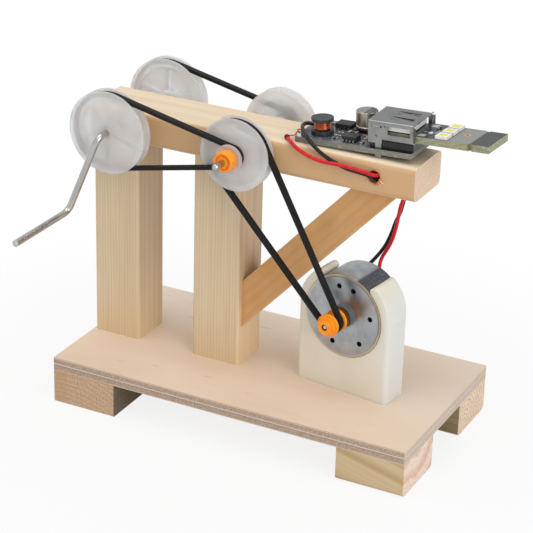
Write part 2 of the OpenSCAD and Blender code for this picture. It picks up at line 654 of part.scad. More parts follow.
// Socket shell: a thin rectangular tube with windows, spring fingers and flared lips
leg_setback = 2.2;
leg_u = usb_u + leg_setback;
leg_w = 1.8;
tail_drop = 3;
tail_places = [usb_setback, usb_setback + usb_w - usb_wall];
window_setback = 7.6;
window_l = 6.6;
window_low = 2.1;
window_h = 2.4;
slit_setback = 1;
slit_l = 3.2;
slit_h = 0.45;
finger_setback = 8.2;
finger_l = 6.2;
finger_w = 1.5;
finger_slot = 0.35;
finger_dip = 0.45;
lip_l = 0.8;
lip_rise = 0.55;
module shell_outline(grow) rotate([90, 0, 90]) translate([-grow, -grow])
    linear_extrude(usb_l) round_rect(usb_w + 2 * grow, usb_h + 2 * grow, shell_r + grow);
module shell_tube() difference() {
    union() {
        shell_outline(0);
        // Side walls reach lower at the back
        for (side = [0, 1]) translate([0, side * (usb_w - usb_wall), -usb_wall * 2])
            cube([usb_l * 0.31, usb_wall, usb_wall * 2 + shell_r]);
    }
    translate([usb_wall, 0, 0]) shell_outline(-usb_wall);
    // An opening in the floor for the contacts
    translate([contact_back - usb_u - snug, usb_w / 2 - 2 * contact_spacing, -over])
        cube([contact_w + 2 * snug, 4 * contact_spacing, 2 * over]);
    // Side windows and slits
    translate([usb_l - window_setback, -over, window_low])
        cube([window_l, usb_w + 2 * over, window_h]);
    translate([slit_setback, -over, usb_h * 0.68]) cube([slit_l, usb_wall + over, slit_h]);
    // Two openings round the spring fingers
    for (v = [0.32, 0.68]) translate([usb_l - finger_setback,
        usb_w * v - finger_w / 2 - finger_slot, usb_h - usb_wall - over])
        cube([finger_l + finger_slot, finger_w + 2 * finger_slot, usb_wall + 2 * over]);
}
// Spring fingers, rooted at the back of their openings and dipping at the tip
module fingers() for (v = [0.32, 0.68])
    translate([usb_l - finger_setback, usb_w * v + finger_w / 2, usb_h])
    rotate([90, 0, 0]) linear_extrude(finger_w) polygon([[-snug, 0], [-snug, -usb_wall],
        [finger_l, -usb_wall - finger_dip], [finger_l, -finger_dip]]);
// Flared lips at the mouth
module lips() {
    translate([usb_l, usb_w - shell_r, usb_h]) rotate([90, 0, 0])
        linear_extrude(usb_w - 2 * shell_r) polygon([[-snug, 0], [-snug, -usb_wall],
            [lip_l, lip_rise - usb_wall], [lip_l, lip_rise]]);
    for (side = [0, 1]) translate([usb_l, side * usb_w, shell_r])
        mirror([0, side, 0]) linear_extrude(usb_h - 2 * shell_r) polygon([[-snug, 0],
            [-snug, usb_wall], [lip_l, usb_wall - lip_rise], [lip_l, -lip_rise]]);
}
module tails() for (v = tail_places) translate([leg_u, v, -tail_drop])
    cube([leg_w, usb_wall, shell_low + shell_r + tail_drop]);
module usb_shell() color("silver") difference() {
    on_circuit() {
        translate([usb_u, usb_setback, shell_low]) {
            shell_tube();
            fingers();
            lips();
        }
        tails();
    }
    below_board_top();
}
// Everything below the beam's top, so that the tails end on the wood
module below_board_top() on_stand() translate([pcb_inset, 0, beam_low])
    cube([board_l, board_w, beam_h]);
module usb_riser() on_circuit() color("black") difference() {
    translate([usb_u + usb_wall, usb_setback + usb_wall + snug, pcb_t])
        cube([usb_l - usb_wall, usb_w - 2 * usb_wall - 2 * snug, usb_riser_h - snug]);
    translate([0, 0, -snug]) pins(snug);
}
// Four contacts: a strip under the tongue, a drop at the back and a pin in the board
contact_back = usb_u + contact_w;
tongue_end_setback = 1.1;
tongue_end = mouth_u - tongue_end_setback;
function contact_v(i) = usb_middle + (i - 1.5) * contact_spacing - contact_w / 2;
module pins(grow) for (i = [0 : 3]) translate([contact_back - grow, contact_v(i) - grow, 0]) {
    translate([0, 0, -tail_drop]) cube([contact_w + 2 * grow, contact_w + 2 * grow,
        tongue_low + tail_drop + grow]);
    translate([0, 0, tongue_low - contact_t - grow])
        cube([tongue_end - contact_back - contact_w + 2 * grow, contact_w + 2 * grow,
            contact_t + grow]);
}
module usb_contacts() color("goldenrod") difference() {
    on_circuit() pins(0);
    below_board_top();
}
module usb_tongue() on_circuit() color("white") difference() {
    block_w = usb_w - 2 * usb_wall - 4 * snug;
    block_h = usb_h - 2 * usb_wall - 2 * snug;
    translate([usb_u + usb_wall, usb_middle - block_w / 2, 0]) {
        translate([0, 0, shell_low + usb_wall + snug]) rotate([90, 0, 90])
            linear_extrude(usb_l * 0.22) round_rect(block_w, block_h, shell_r);
        translate([0, shell_r, tongue_low])
            cube([tongue_end - usb_u - usb_wall, block_w - 2 * shell_r, tongue_t]);
    }
    pins(snug);
}

// Drum inductor with its winding, the outer layer over a plain inner layer
winding_r = 2.2;
winding_low = pcb_t + flange_low_t;
module inductor_core() on_circuit() color("dimgray") translate([inductor_u, inductor_v, pcb_t]) {
    cylinder(d = inductor_d, h = flange_low_t);
    cylinder(d = spool_d, h = flange_low_t + winding_gap + flange_top_t);
    translate([0, 0, flange_low_t + winding_gap]) cylinder(d = inductor_d, h = flange_top_t);
}
turn_rings = 24;
turn_sides = 6;
winding_pitch = (winding_gap - winding_wire_d - 4 * snug) / winding_turns;
winding_path = [for (i = [0 : winding_turns * turn_rings]) let (a = i * 360 / turn_rings)
    [winding_r * cos(a), winding_r * sin(a),
        winding_wire_d / 2 + 2 * snug + winding_pitch * a / 360]];
winding_least_gap = min([for (i = [0 : len(winding_path) - 1], j = [0 : len(winding_path) - 1])
    if (j - i > turn_rings / 2) norm(winding_path[j] - winding_path[i])]) - winding_wire_d;
echo(winding_least_gap = winding_least_gap);
module inductor_winding() on_circuit() color("chocolate")
    translate([inductor_u, inductor_v, winding_low]) {
    tube(winding_path, winding_wire_d / 2, turn_sides);
    translate([0, 0, snug]) difference() {
        cylinder(r = winding_r - winding_wire_d / 2 - snug, h = winding_gap - 2 * snug);
        translate([0, 0, -over]) cylinder(d = spool_d + 2 * snug, h = winding_gap + 2 * over);
    }
}

// A tube swept along points, with the same number of sides at each ring
function unit(v) = v / norm(v);
function heading(p, i) = unit(p[min(i + 1, len(p) - 1)] - p[max(i - 1, 0)]);
function carried(v, t) = unit(v - (v * t) * t);
function frames(p, i, v, done) = i == len(p) ? done
    : let (t = heading(p, i), n = carried(v, t)) frames(p, i + 1, n, concat(done, [[n, cross(t, n)]]));
module tube(path, r, sides) {
    first = heading(path, 0);
    start = cross(first, abs(first[2]) < 0.9 ? [0, 0, 1] : [1, 0, 0]);
    axes = frames(path, 0, start, []);
    last = len(path) - 1;
    points = [for (i = [0 : last], k = [0 : sides - 1]) let (a = k * 360 / sides)
        path[i] + r * cos(a) * axes[i][0] + r * sin(a) * axes[i][1]];
    sides_faces = [for (i = [0 : last - 1], k = [0 : sides - 1]) let (m = (k + 1) % sides)
        each [[i * sides + k, (i + 1) * sides + m, i * sides + m],
            [i * sides + k, (i + 1) * sides + k, (i + 1) * sides + m]]];
    start_cap = [for (k = [1 : sides - 2]) [0, k, k + 1]];
    end_cap = [for (k = [1 : sides - 2]) [last * sides, last * sides + k + 1, last * sides + k]];
    polyhedron(points, concat(sides_faces, start_cap, end_cap));
}

// Capacitor: a drawn can with a pinched waist on a square plastic base
can_base_t = 0.8;
can_base_margin = 0.15;
can_base_w = can_d + 2 * can_base_margin;
module capacitor_base() on_circuit() color("dimgray")
    translate([can_u - can_base_w / 2, can_v - can_base_w / 2, pcb_t])
    linear_extrude(can_base_t) round_rect(can_base_w, can_base_w, can_d * 0.12);
module capacitor_can() on_circuit() color("silver")
    translate([can_u, can_v, pcb_t + can_base_t]) rotate_extrude() polygon([[0, 0],
        [can_d * 0.47, 0], [can_d / 2, can_h * 0.05], [can_d / 2, can_h * 0.14],
        [can_d * 0.47, can_h * 0.18], [can_d / 2, can_h * 0.22], [can_d / 2, can_h * 0.95],
        [can_d * 0.46, can_h], [0, can_h]]);

// Two chips, as body places with length, width and height
chips = [[7.6, 10.7, 4.9, 3.9, 1.5], [13.9, 1.7, 4.2, 3.4, 1.6]];
chip_lift = 0.15;
leg_t = 0.2;
leg_out = 0.9;
module power_chips() on_circuit() color("black") for (c = chips)
    translate([c[0], c[1], pcb_t + chip_lift]) cube([c[2], c[3], c[4] - chip_lift]);
module chip_legs() on_circuit() color("lightgray") for (c = chips, i = [0 : 3], side = [0, 1])
    translate([c[0] + c[2] * (i + 0.5) / 4 - leg_t, c[1] + side * c[3], pcb_t])
    mirror([0, 1 - side, 0]) rotate([90, 0, 90]) linear_extrude(2 * leg_t) polygon([[0, c[4] / 2],
        [leg_out * 0.5, c[4] / 2], [leg_out * 0.6, leg_t], [leg_out, leg_t], [leg_out, 0],
        [leg_out * 0.4, 0], [leg_out * 0.3, c[4] / 2 - leg_t], [0, c[4] / 2 - leg_t]]);

// Small resistors, capacitors and a diode, as places with length, width and height
small_places = [[10.6, 2.2, 1.6, 0.8, 0.5], [10.6, 4.4, 1.6, 0.8, 0.5], [10.4, 6.6, 1.6, 0.8, 0.6],
    [19.4, 1.6, 0.8, 1.6, 0.6], [19.2, 4.6, 1, 2, 0.7], [13.2, 7.2, 2.7, 1.6, 1],
    [17.4, 7.4, 1.6, 0.8, 0.5], [20.2, 8.4, 0.8, 1.6, 0.6], [3, 11, 0.8, 1.6, 0.5],
    [4.6, 13.2, 1.6, 0.8, 0.6]];
module small_parts() on_circuit() color("sienna") for (p = small_places)
    translate([p[0], p[1], pcb_t]) cube([p[2], p[3], p[4]]);

// Solder on the two lead pads and on the motor terminals
red_pad = [1.1, 1.3];
black_pad = [3.4, 8.7];
module solder_joints() color("lightgray") {
    on_circuit() for (pad = [red_pad, black_pad]) translate([pad[0], pad[1], pcb_t])
        cylinder(d1 = joint_d, d2 = joint_d / 2, h = joint_h);
    on_motor() for (side = [-1, 1])
        translate([side * motor_d * terminal_x_share, -motor_d * terminal_rise_share - joint_h,
            motor_l + terminal_l / 2])
        rotate([-90, 0, 0]) cylinder(d1 = joint_d / 2, d2 = joint_d, h = joint_h - snug);
}

// Lamp board with its notches, drawn from the socket's mouth outwards
notch_x = 17.2;
notch_l = 1;
notch_depth = 0.6;
lamp_plug_w = 11;
module lamp_board() on_lamp() color("darkslategray") difference() {
    union() {
        translate([-lamp_in, -lamp_plug_w / 2, 0]) cube([lamp_in + over, lamp_plug_w, lamp_t]);
        translate([0, -lamp_w / 2, 0]) cube([lamp_out, lamp_w, lamp_t]);
    }
    for (side = [-1, 1]) translate([notch_x, side * lamp_w / 2, lamp_t / 2])
        cube([notch_l, 2 * notch_depth, lamp_t + 2 * over], center = true);
}
led_x = 6.6;
led_l = 3.6;
led_w = 3.2;
led_h = 0.9;
led_spacing = 4;
module at_leds(inset, low) on_lamp() for (i = [-1 : 1])
    translate([led_x + inset, i * led_spacing - led_w / 2 + inset, lamp_t + low]) children();
module lamp_leds() color("white") difference() {
    at_leds(0, 0) cube([led_l, led_w, led_h]);
    at_leds(led_w * 0.2, led_h * 0.6) cube([led_l - led_w * 0.4, led_w * 0.6, led_h]);
}
module lamp_phosphor() color("yellow") at_leds(led_w * 0.2 + snug, led_h * 0.6 + snug)
    cube([led_l - led_w * 0.4 - 2 * snug, led_w * 0.6 - 2 * snug, led_h * 0.3]);
// Two resistors, as places with length, width and height
lamp_places = [[3.4, -3.4, 0.9, 1.7, 0.5], [3.4, 1.7, 0.9, 1.7, 0.5]];
module lamp_parts() on_lamp() color("lightgray") for (p = lamp_places)
    translate([p[0], p[1], lamp_t]) cube([p[2], p[3], p[4]]);

// The two leads and the bare strands that lead from their upper ends to the pads
module red_lead() on_stand() color("red") tube(red_route, lead_d / 2, lead_sides);
module black_lead() on_stand() color("black") tube(black_route, lead_d / 2, lead_sides);
strand_d = 0.5;
red_strand = [[-3.3, 3.3, 0.65], [-3.2, 3.9, 0.7], [-2.4, 4.2, 0.8], [-1.5, 4.2, 1.2],
    [-0.8, 3.9, 1.9], [-0.1, 3.5, 2.6], [0.6, 3.4, 2.7], [1.2, 3.4, 2.7]];
black_strand = [[3, 10.7, 2.75], [3.7, 10.7, 2.8]];
function stripped(route) = route[0] - 2 * snug * heading(route, 0);
module lead_strands() on_stand() color("peru") {
    tube(concat([stripped(red_route)], [for (p = red_strand) lead_start + p]),
        strand_d / 2, turn_sides);
    tube(concat([stripped(black_route)], [for (p = black_strand) lead_start + p]),
        strand_d / 2, turn_sides);
}

base_board();
foot_front_left();
foot_front_right();
foot_back_left();
foot_back_right();
left_post();
right_post();
top_beam();
brace();
crank_wire();
front_crank_pulley();
back_crank_pulley();
driven_axle();
front_step_pulley();
back_step_pulley();
front_bush();
back_bush();
front_crank_belt();
back_crank_belt();
motor_belt();
motor_pulley();
motor_shaft();
motor_can();
motor_front_plate();
motor_bearing();
motor_rear_bearing();
motor_magnet();
motor_armature();
motor_windings();
motor_commutator();
motor_end_cap();
motor_brushes();
motor_terminals();
motor_bracket();
circuit_board();
usb_shell();
usb_riser();
usb_tongue();
usb_contacts();
inductor_core();
inductor_winding();
capacitor_can();
capacitor_base();
power_chips();
chip_legs();
small_parts();
solder_joints();
lamp_board();
lamp_leds();
lamp_phosphor();
lamp_parts();
red_lead();
black_lead();
lead_strands();
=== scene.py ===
"""Hand crank phone charger: finishes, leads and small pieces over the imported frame.

Places on the stand are in millimetres from the base board's front left corner on the
table, places on the circuit board from its left end and front edge. Meshes are in metres.
Colours are screen colours, in steps from 0 to 255.
"""

import math
import random

import bmesh
import bpy
from mathutils import Matrix, Vector


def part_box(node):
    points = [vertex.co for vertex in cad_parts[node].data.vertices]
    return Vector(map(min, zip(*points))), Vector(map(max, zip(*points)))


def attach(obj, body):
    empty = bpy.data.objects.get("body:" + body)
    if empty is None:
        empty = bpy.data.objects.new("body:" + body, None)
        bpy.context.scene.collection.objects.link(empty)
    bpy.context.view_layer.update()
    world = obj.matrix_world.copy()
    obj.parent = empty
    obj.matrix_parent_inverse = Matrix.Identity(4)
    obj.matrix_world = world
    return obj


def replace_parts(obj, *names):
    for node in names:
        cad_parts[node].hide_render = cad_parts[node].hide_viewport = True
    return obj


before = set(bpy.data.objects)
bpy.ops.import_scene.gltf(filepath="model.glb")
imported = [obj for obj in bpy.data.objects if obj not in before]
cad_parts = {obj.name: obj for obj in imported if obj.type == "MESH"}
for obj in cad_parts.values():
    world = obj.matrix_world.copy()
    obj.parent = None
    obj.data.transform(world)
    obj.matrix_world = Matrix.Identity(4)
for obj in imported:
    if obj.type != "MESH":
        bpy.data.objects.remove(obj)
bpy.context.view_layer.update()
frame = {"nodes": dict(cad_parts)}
nodes = frame["nodes"]

MM = 0.001
STAND_CORNER = Vector((-61.919852, -20.35, 0.0))
BOARD_TOP = 13.4
BEAM_TOP = 89.3
AXLE_HEIGHT = 84.2
CRANK_X, AXLE_X = 11.15, 51.0
MOTOR_AXIS = Vector((83.6, 23.6, 38.85))
MOTOR_TURN = math.radians(8)
BRACE_SLOPE = math.radians(47.4)
LEAD_HOLE = (92.3, 20.9, 84.6)
LEAD_HOLE_RADIUS = 1.85
LEAD_THICKNESS = 1.1
STRAND_THICKNESS = 0.22
SPLINTER_THICKNESS = 0.55

CIRCUIT_SLOPE = math.radians(2.6)
CIRCUIT_THICKNESS = 1.6
CIRCUIT_TO_STAND = (
    Matrix.Translation((66.6, 23.0, BEAM_TOP + 0.02)) @ Matrix.Rotation(-CIRCUIT_SLOPE, 4, "Y")
)
LAMP_THICKNESS = 2.0
LAMP_TO_CIRCUIT = (
    Matrix.Translation((35.8, 7.25, 4.47))
    @ Matrix.Rotation(-math.radians(2), 4, "Y")
    @ Matrix.Rotation(-math.radians(4), 4, "Z")
)
LAMP_TO_STAND = CIRCUIT_TO_STAND @ LAMP_TO_CIRCUIT
LAMP_VIA = (13.4, 0.6)
SHELL_TOP = 9.2
CAPACITOR_X = 16.4
CAPACITOR_LID = 7.3
INDUCTOR = (6.3, 5.2)
INDUCTOR_FLANGE = 1.4
WINDING_GAP = 2.7
WINDING_RADIUS = 2.2
WINDING_THICKNESS = 0.32
WINDING_TURNS = 7
# Lowest corner, length and width of each chip
CHIPS = [(7.6, 10.7, 4.9, 3.9), (13.9, 1.7, 4.2, 3.4)]
# Lowest corner, length, width and height of each small part, as in the part
SMALL_PARTS = [
    (10.6, 2.2, 1.6, 0.8, 0.5), (10.6, 4.4, 1.6, 0.8, 0.5), (10.4, 6.6, 1.6, 0.8, 0.6),
    (19.4, 1.6, 0.8, 1.6, 0.6), (19.2, 4.6, 1.0, 2.0, 0.7), (13.2, 7.2, 2.7, 1.6, 1.0),
    (17.4, 7.4, 1.6, 0.8, 0.5), (20.2, 8.4, 0.8, 1.6, 0.6), (3.0, 11.0, 0.8, 1.6, 0.5),
    (4.6, 13.2, 1.6, 0.8, 0.6),
]


def on_stand(x, y, z):
    """A place on the stand, in the frame's metres."""
    return (STAND_CORNER + Vector((x, y, z))) * MM


def on_circuit(u, v, w):
    """A place on the circuit board, in the frame's metres."""
    return on_stand(*(CIRCUIT_TO_STAND @ Vector((u, v, w))))


def shade(red, green, blue):
    """A screen colour as the linear colour that Blender works in."""
    linear = [
        ((step / 255 + 0.055) / 1.055) ** 2.4 if step > 10 else step / 255 / 12.92
        for step in (red, green, blue)
    ]
    return (*linear, 1.0)


# Camera: the photograph's viewpoint, on the photograph's square frame

PHOTO_WIDTH = 533.0
FOCAL_PIXELS = 1989.656
SENSOR_WIDTH = 36.0
CAMERA_PLACE = Vector((294.905, -445.769, 288.070))
CAMERA_RIGHT = Vector((0.8877805727, 0.4595881403, 0.0249879165))
CAMERA_DOWN = Vector((0.2107954403, -0.3577290399, -0.9097226041))
CAMERA_AHEAD = Vector((-0.4091588165, 0.8129013933, -0.4144639763))

camera_data = bpy.data.cameras.new("photo_camera")
camera_data.sensor_width = SENSOR_WIDTH
camera_data.lens = FOCAL_PIXELS * SENSOR_WIDTH / PHOTO_WIDTH
camera_data.clip_start = 0.01
camera = bpy.data.objects.new("photo_camera", camera_data)
turned_camera = Matrix((CAMERA_RIGHT, -CAMERA_DOWN, -CAMERA_AHEAD)).transposed().to_4x4()
camera.matrix_world = Matrix.Translation(on_stand(*CAMERA_PLACE)) @ turned_camera
bpy.context.scene.collection.objects.link(camera)
bpy.context.scene.camera = camera


# Materials


class Signal:
    """What one socket gives. Arithmetic on it adds Math nodes to its tree."""

    def __init__(self, nodes, socket):
        self.nodes = nodes
        self.socket = socket

    def _math(self, operation, *values):
        return self.nodes.add("Math", {"operation": operation}, values)

    def __add__(self, other):
        return self._math("ADD", self, other)

    __radd__ = __add__

    def __sub__(self, other):
        return self._math("SUBTRACT", self, other)

    def __rsub__(self, other):
        return self._math("SUBTRACT", other, self)

    def __mul__(self, other):
        return self._math("MULTIPLY", self, other)

    __rmul__ = __mul__

    def __truediv__(self, other):
        return self._math("DIVIDE", self, other)

    def __rtruediv__(self, other):
        return self._math("DIVIDE", other, self)

    def root(self):
        return self._math("SQRT", self)

    def within_turn(self):
        """The part of the number after its point."""
        return self._math("FRACT", self)

    def larger(self, other):
        return self._math("MAXIMUM", self, other)

    def rise(self, low, high):
        """0 below low, 1 above high, and smooth between them."""
        sockets = {"Value": self, "From Min": low, "From Max": high}
        return self.nodes.add("MapRange", {"interpolation_type": "SMOOTHSTEP"}, sockets)

    def between(self, low, high, soft):
        """1 from low to high, with edges as wide as soft."""
        return self.rise(low - soft, low) * (1 - self.rise(high, high + soft))


def distance(first, second):
    """How far a point is from where both coordinates are 0."""
    return (first * first + second * second).root()


def turned(first, second, angle):
    """Two coordinates along and across a line that rises by angle from the first one's axis."""
    lean, drop = math.cos(angle), math.sin(angle)
    return first * lean + second * drop, second * lean - first * drop


class Nodes:
    """A node tree in the making."""

    # A Mix node's sockets for its mask, its two colours and their mixture
    MASK, UNDER, OVER, MIXTURE = 0, 6, 7, 2

    def __init__(self, tree):
        self.tree = tree

    def add(self, kind, settings=None, inputs=(), output=0):
        """Adds one shader node, with its settings first and then its sockets' values or links."""
        node = self.tree.nodes.new("ShaderNode" + kind)
        for key, value in (settings or {}).items():
            setattr(node, key, value)
        pairs = inputs.items() if isinstance(inputs, dict) else enumerate(inputs)
        for key, value in pairs:
            if isinstance(value, Signal):
                self.tree.links.new(value.socket, node.inputs[key])
            else:
                node.inputs[key].default_value = value
        return Signal(self, node.outputs[output])

    def parts(self, vector):
        node = self.add("SeparateXYZ", inputs=[vector]).socket.node
        return [Signal(self, socket) for socket in node.outputs]

    def vector(self, x, y, z):
        return self.add("CombineXYZ", inputs=[x, y, z])

    def noise(self, vector, size, detail=2.0, roughness=0.5):
        """Soft blotches whose width is about size, in metres, from 0 to 1."""
        sockets = {"Vector": vector, "Scale": 1 / size, "Detail": detail, "Roughness": roughness}
        return self.add("TexNoise", inputs=sockets)

    def layers(self, color, *coats):
        """A colour with others over it, each where its mask is 1."""
        for mask, over in coats:
            under, over = (
                tone if isinstance(tone, Signal) else shade(*tone) for tone in (color, over)
            )
            sockets = {self.MASK: mask, self.UNDER: under, self.OVER: over}
            color = self.add("Mix", {"data_type": "RGBA"}, sockets, self.MIXTURE)
        return color


class Finish(Nodes):
    """A material in the making: its Principled shader and the nodes that vary it."""

    def __init__(self, name, color, roughness, metallic=0.0, **constants):
        self.material = bpy.data.materials.new(name)
        self.material.use_nodes = True
        super().__init__(self.material.node_tree)
        self.shader = self.tree.nodes["Principled BSDF"]
        self.shader.inputs["Base Color"].default_value = shade(*color)
        self.shader.inputs["Roughness"].default_value = roughness
        self.shader.inputs["Metallic"].default_value = metallic
        for socket, value in constants.items():
            self.shader.inputs[socket.replace("_", " ")].default_value = value

    def place(self):
        """The point on the object, in the frame's metres."""
        return self.add("TexCoord", output="Object")

    def drive(self, socket, signal):
        self.tree.links.new(signal.socket, self.shader.inputs[socket])

    def paint(self, color, *coats):
        """Colours the surface in layers."""
        self.drive("Base Color", self.layers(color, *coats))

    def bump(self, height, depth, strength=1.0):
        """Raises the surface by height times depth, in metres."""
        sockets = {"Height": height, "Distance": depth, "Strength": strength}
        self.drive("Normal", self.add("Bump", None, sockets))

    def grained(self, size, low, high, depth=0.0):
        """Uneven sheen: roughness from low to high in blotches, and a bump of the same."""
        blotch = self.noise(self.place(), size, detail=4.0)
        self.drive("Roughness", low + blotch * (high - low))
        if depth:
            self.bump(blotch, depth, 0.3)
        return blotch

    def spot(self, place, middle, reach, edge=0.0):
        """1 at middle and 0 beyond reach, a length or one for each axis, in millimetres."""
        sides = reach if isinstance(reach, tuple) else (reach, reach, reach)
        away = self.add("VectorMath", {"operation": "SUBTRACT"}, [place, middle])
        spans = [side * MM for side in sides]
        away = self.add("VectorMath", {"operation": "DIVIDE"}, [away, spans])
        away = self.add("VectorMath", {"operation": "LENGTH"}, [away], output="Value")
        return 1 - away.rise(edge, 1.0)


def grained_finish(name, color, roughness, grain, tones=None, metallic=0.0, **constants):
    """A finish in fine blotches.

    grain holds their size, the lowest and highest roughness and, where they are raised, by how
    much; tones where the first colour begins to give way, where the second is full, and both.
    """
    finish = Finish(name, color, roughness, metallic, **constants)
    blotch = finish.grained(*grain)
    if tones:
        low, high, first, second = tones
        finish.paint(first, (blotch.rise(low, high), second))
    return finish


def wear(finish, *names, bevel=0.0, segments=2):
    """Gives carried-over nodes their finish and softens their edges by bevel, in millimetres."""
    for name in names:
        piece = nodes[name]
        if not piece.material_slots:
            piece.data.materials.append(None)
        for slot in piece.material_slots:
            slot.material = finish.material
        if bevel:
            edge = piece.modifiers.new("worn_edges", "BEVEL")
            edge.width = bevel * MM
            edge.segments = segments
            edge.limit_method = "ANGLE"
            edge.angle_limit = math.radians(40)
            edge.harden_normals = False


def right_side(x, side, begin=0.0004, full=0.0002):
    """1 on a node's right side, which is at side, rising over the last bit before it."""
    return x.rise(side - begin, side - full)


# Wood

ALONG_X, ALONG_Y, UPRIGHT = 0, 1, 2


class Wood(Finish):
    """Planed softwood: yearly rings round a pith that runs along the grain, fibres and cut ends.

    pith holds the two coordinates across the grain of the trunk's middle, ring the width of a
    year, ends the two places along the grain where end grain shows, and cut its two colours.
    """

    def __init__(self, name, pale, dark, grain, pith, ring, ends, slope=0.0, rings=0.3, cut=None):
        super().__init__(name, pale, 0.55, Specular_IOR_Level=0.3)
        x, y, z = self.parts(self.place())
        lengthways = (x, y, z)[grain]
        if slope:
            x, z = turned(x, z, slope)
        along, first, second = ((x, y, z), (y, x, z), (z, x, y))[grain]

        def streaks(squeeze, size, detail):
            return self.noise(self.vector(along * squeeze, first, second), size, detail)

        sway = streaks(0.05, 0.012, 1.0) - 0.5
        out = distance(first - pith[0], second - pith[1]) + sway * ring * 1.6
        season = (out / ring).within_turn()
        late = season.rise(0.35, 0.85) * (1 - season.rise(0.9, 1.0))
        fibre = streaks(0.015, 0.00045, 4.0)
        band = streaks(0.04, 0.0032, 2.0)
        cloud = streaks(0.5, 0.02, 2.0)
        dashes = streaks(0.09, 0.00022, 1.0).rise(0.66, 0.76)
        depth = late * rings + (fibre - 0.5) * 0.6 + (band - 0.5) * 0.35
        depth = depth + (cloud - 0.5) * 0.4 + dashes * 0.16 + 0.14
        self.end = 1 - lengthways.between(ends[0] + 0.00005, ends[1] - 0.00005, 0.00002)
        crumbs = self.noise(self.place(), 0.00055, detail=3.0, roughness=0.65)
        cut_pale, cut_dark = cut or (pale, dark)
        cut_depth = crumbs.rise(0.36, 0.66) * 0.6 + late * rings * 0.8 + (cloud - 0.5) * 0.3
        cut_color = self.layers(cut_pale, (cut_depth, cut_dark))
        self.color = self.layers(pale, (depth, dark), (self.end, cut_color))
        self.drive("Base Color", self.color)
        self.drive("Roughness", 0.46 + fibre * 0.16 + self.end * 0.2)
        self.bump(fibre + late * 0.3 + crumbs * self.end * 1.2, 0.00004, 0.5)
        self.crumbs, self.late, self.cloud = crumbs, late, cloud

    def tint(self, mask, *color):
        """Lays another colour over the wood where mask is 1."""
        self.color = self.layers(self.color, (mask, color))
        self.drive("Base Color", self.color)


def wood_for(node, pale, dark, grain, pith, ring, bevel=0.25, **more):
    """Wood for one node, with the pith given from the node's own lowest corner in millimetres."""
    low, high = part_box(node)
    across = [axis for axis in range(3) if axis != grain]
    middle = [low[axis] + step * MM for axis, step in zip(across, pith)]
    ends = (low[grain], high[grain])
    finish = Wood(node + "_wood", pale, dark, grain, middle, ring * MM, ends, **more)
    wear(finish, node, bevel=bevel)
    return finish


birch = Finish("birch_plywood", (236, 214, 190), 0.5, Specular_IOR_Level=0.3)
place = birch.place()
x, y, z = birch.parts(place)
pores = birch.noise(birch.vector(x * 0.05, y, z), 0.0004, detail=3.0)
clouds = birch.noise(birch.vector(x * 0.35, y, z), 0.02, detail=3.0)
flecks = birch.noise(birch.vector(x * 0.25, y, z), 0.0028, detail=0.0)
# Painted light: the board's face is lightened towards its back right and at its back left
painted_light_far_end = (x * 0.8 + y * 0.9).rise(0.0, 0.075)
painted_light_back_left = y.rise(0.006, 0.03) * (1 - x.rise(0.0, 0.03))
face_color = birch.layers(
    (235, 213, 190),
    (clouds.rise(0.3, 0.72), (227, 203, 178)),
    (painted_light_far_end * 0.5, (232, 218, 206)),
    (painted_light_back_left * 0.8, (252, 236, 220)),
    (pores.rise(0.5, 0.85) * 0.3, (214, 182, 150)),
    (flecks.rise(0.8, 0.86) * 0.3, (206, 158, 106)),
)
for middle, reach, strength in (
    ((18.4, 7.9), (2.2, 0.5), 0.4), ((29.0, 10.4), (2.0, 0.45), 0.55),
    ((46.1, 12.1), (2.4, 0.5), 0.5), ((61.0, 9.0), (1.4, 0.4), 0.3),
    ((97.5, 7.2), (1.2, 0.4), 0.25), ((8.0, 24.0), (1.4, 0.4), 0.3),
):
    fleck = birch.spot(place, on_stand(*middle, BOARD_TOP), (*reach, 9.0))
    face_color = birch.layers(face_color, (fleck * strength * (0.5 + pores), (204, 150, 96)))
base_low, base_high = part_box("base_board")
level = (z - base_low[2]) / (base_high[2] - base_low[2])
crumbs = birch.noise(place, 0.0006, detail=4.0, roughness=0.72)
drift = birch.noise(birch.vector(x * 0.2, y * 0.2, z * 1.5), 0.0012, detail=3.0)
core_veneer = level.between(0.485, 0.53, 0.03)
glue_line = level.between(0.38, 0.43, 0.04)
lower_veneer = 1 - level.rise(0.04, 0.1)
upper_veneer = level.rise(0.84, 0.9)
edge_color = birch.layers(
    (160, 134, 114),
    (crumbs.rise(0.36, 0.66), (200, 178, 156)),
    (drift.rise(0.4, 0.7) * 0.4, (184, 156, 130)),
    (crumbs.rise(0.64, 0.72) * 0.5, (140, 108, 84)),
    (core_veneer * 0.7, (226, 221, 217)),
    (glue_line * 0.35, (150, 128, 112)),
    (lower_veneer * 0.6, (214, 200, 184)),
    (upper_veneer * 0.75, (214, 194, 174)),
    # Painted light: the board's right edge is paler
    (right_side(x, base_high[0]) * 0.5, (226, 210, 196)),
)
top_or_under = level.rise(0.985, 0.999).larger(1 - level.rise(0.001, 0.015))
birch.paint(edge_color, (top_or_under, face_color))
birch.drive("Roughness", 0.44 + crumbs * 0.2)
birch.bump(crumbs * (1 - top_or_under) + pores * top_or_under * 0.2, 0.0001, 0.7)
wear(birch, "base_board", bevel=0.18)

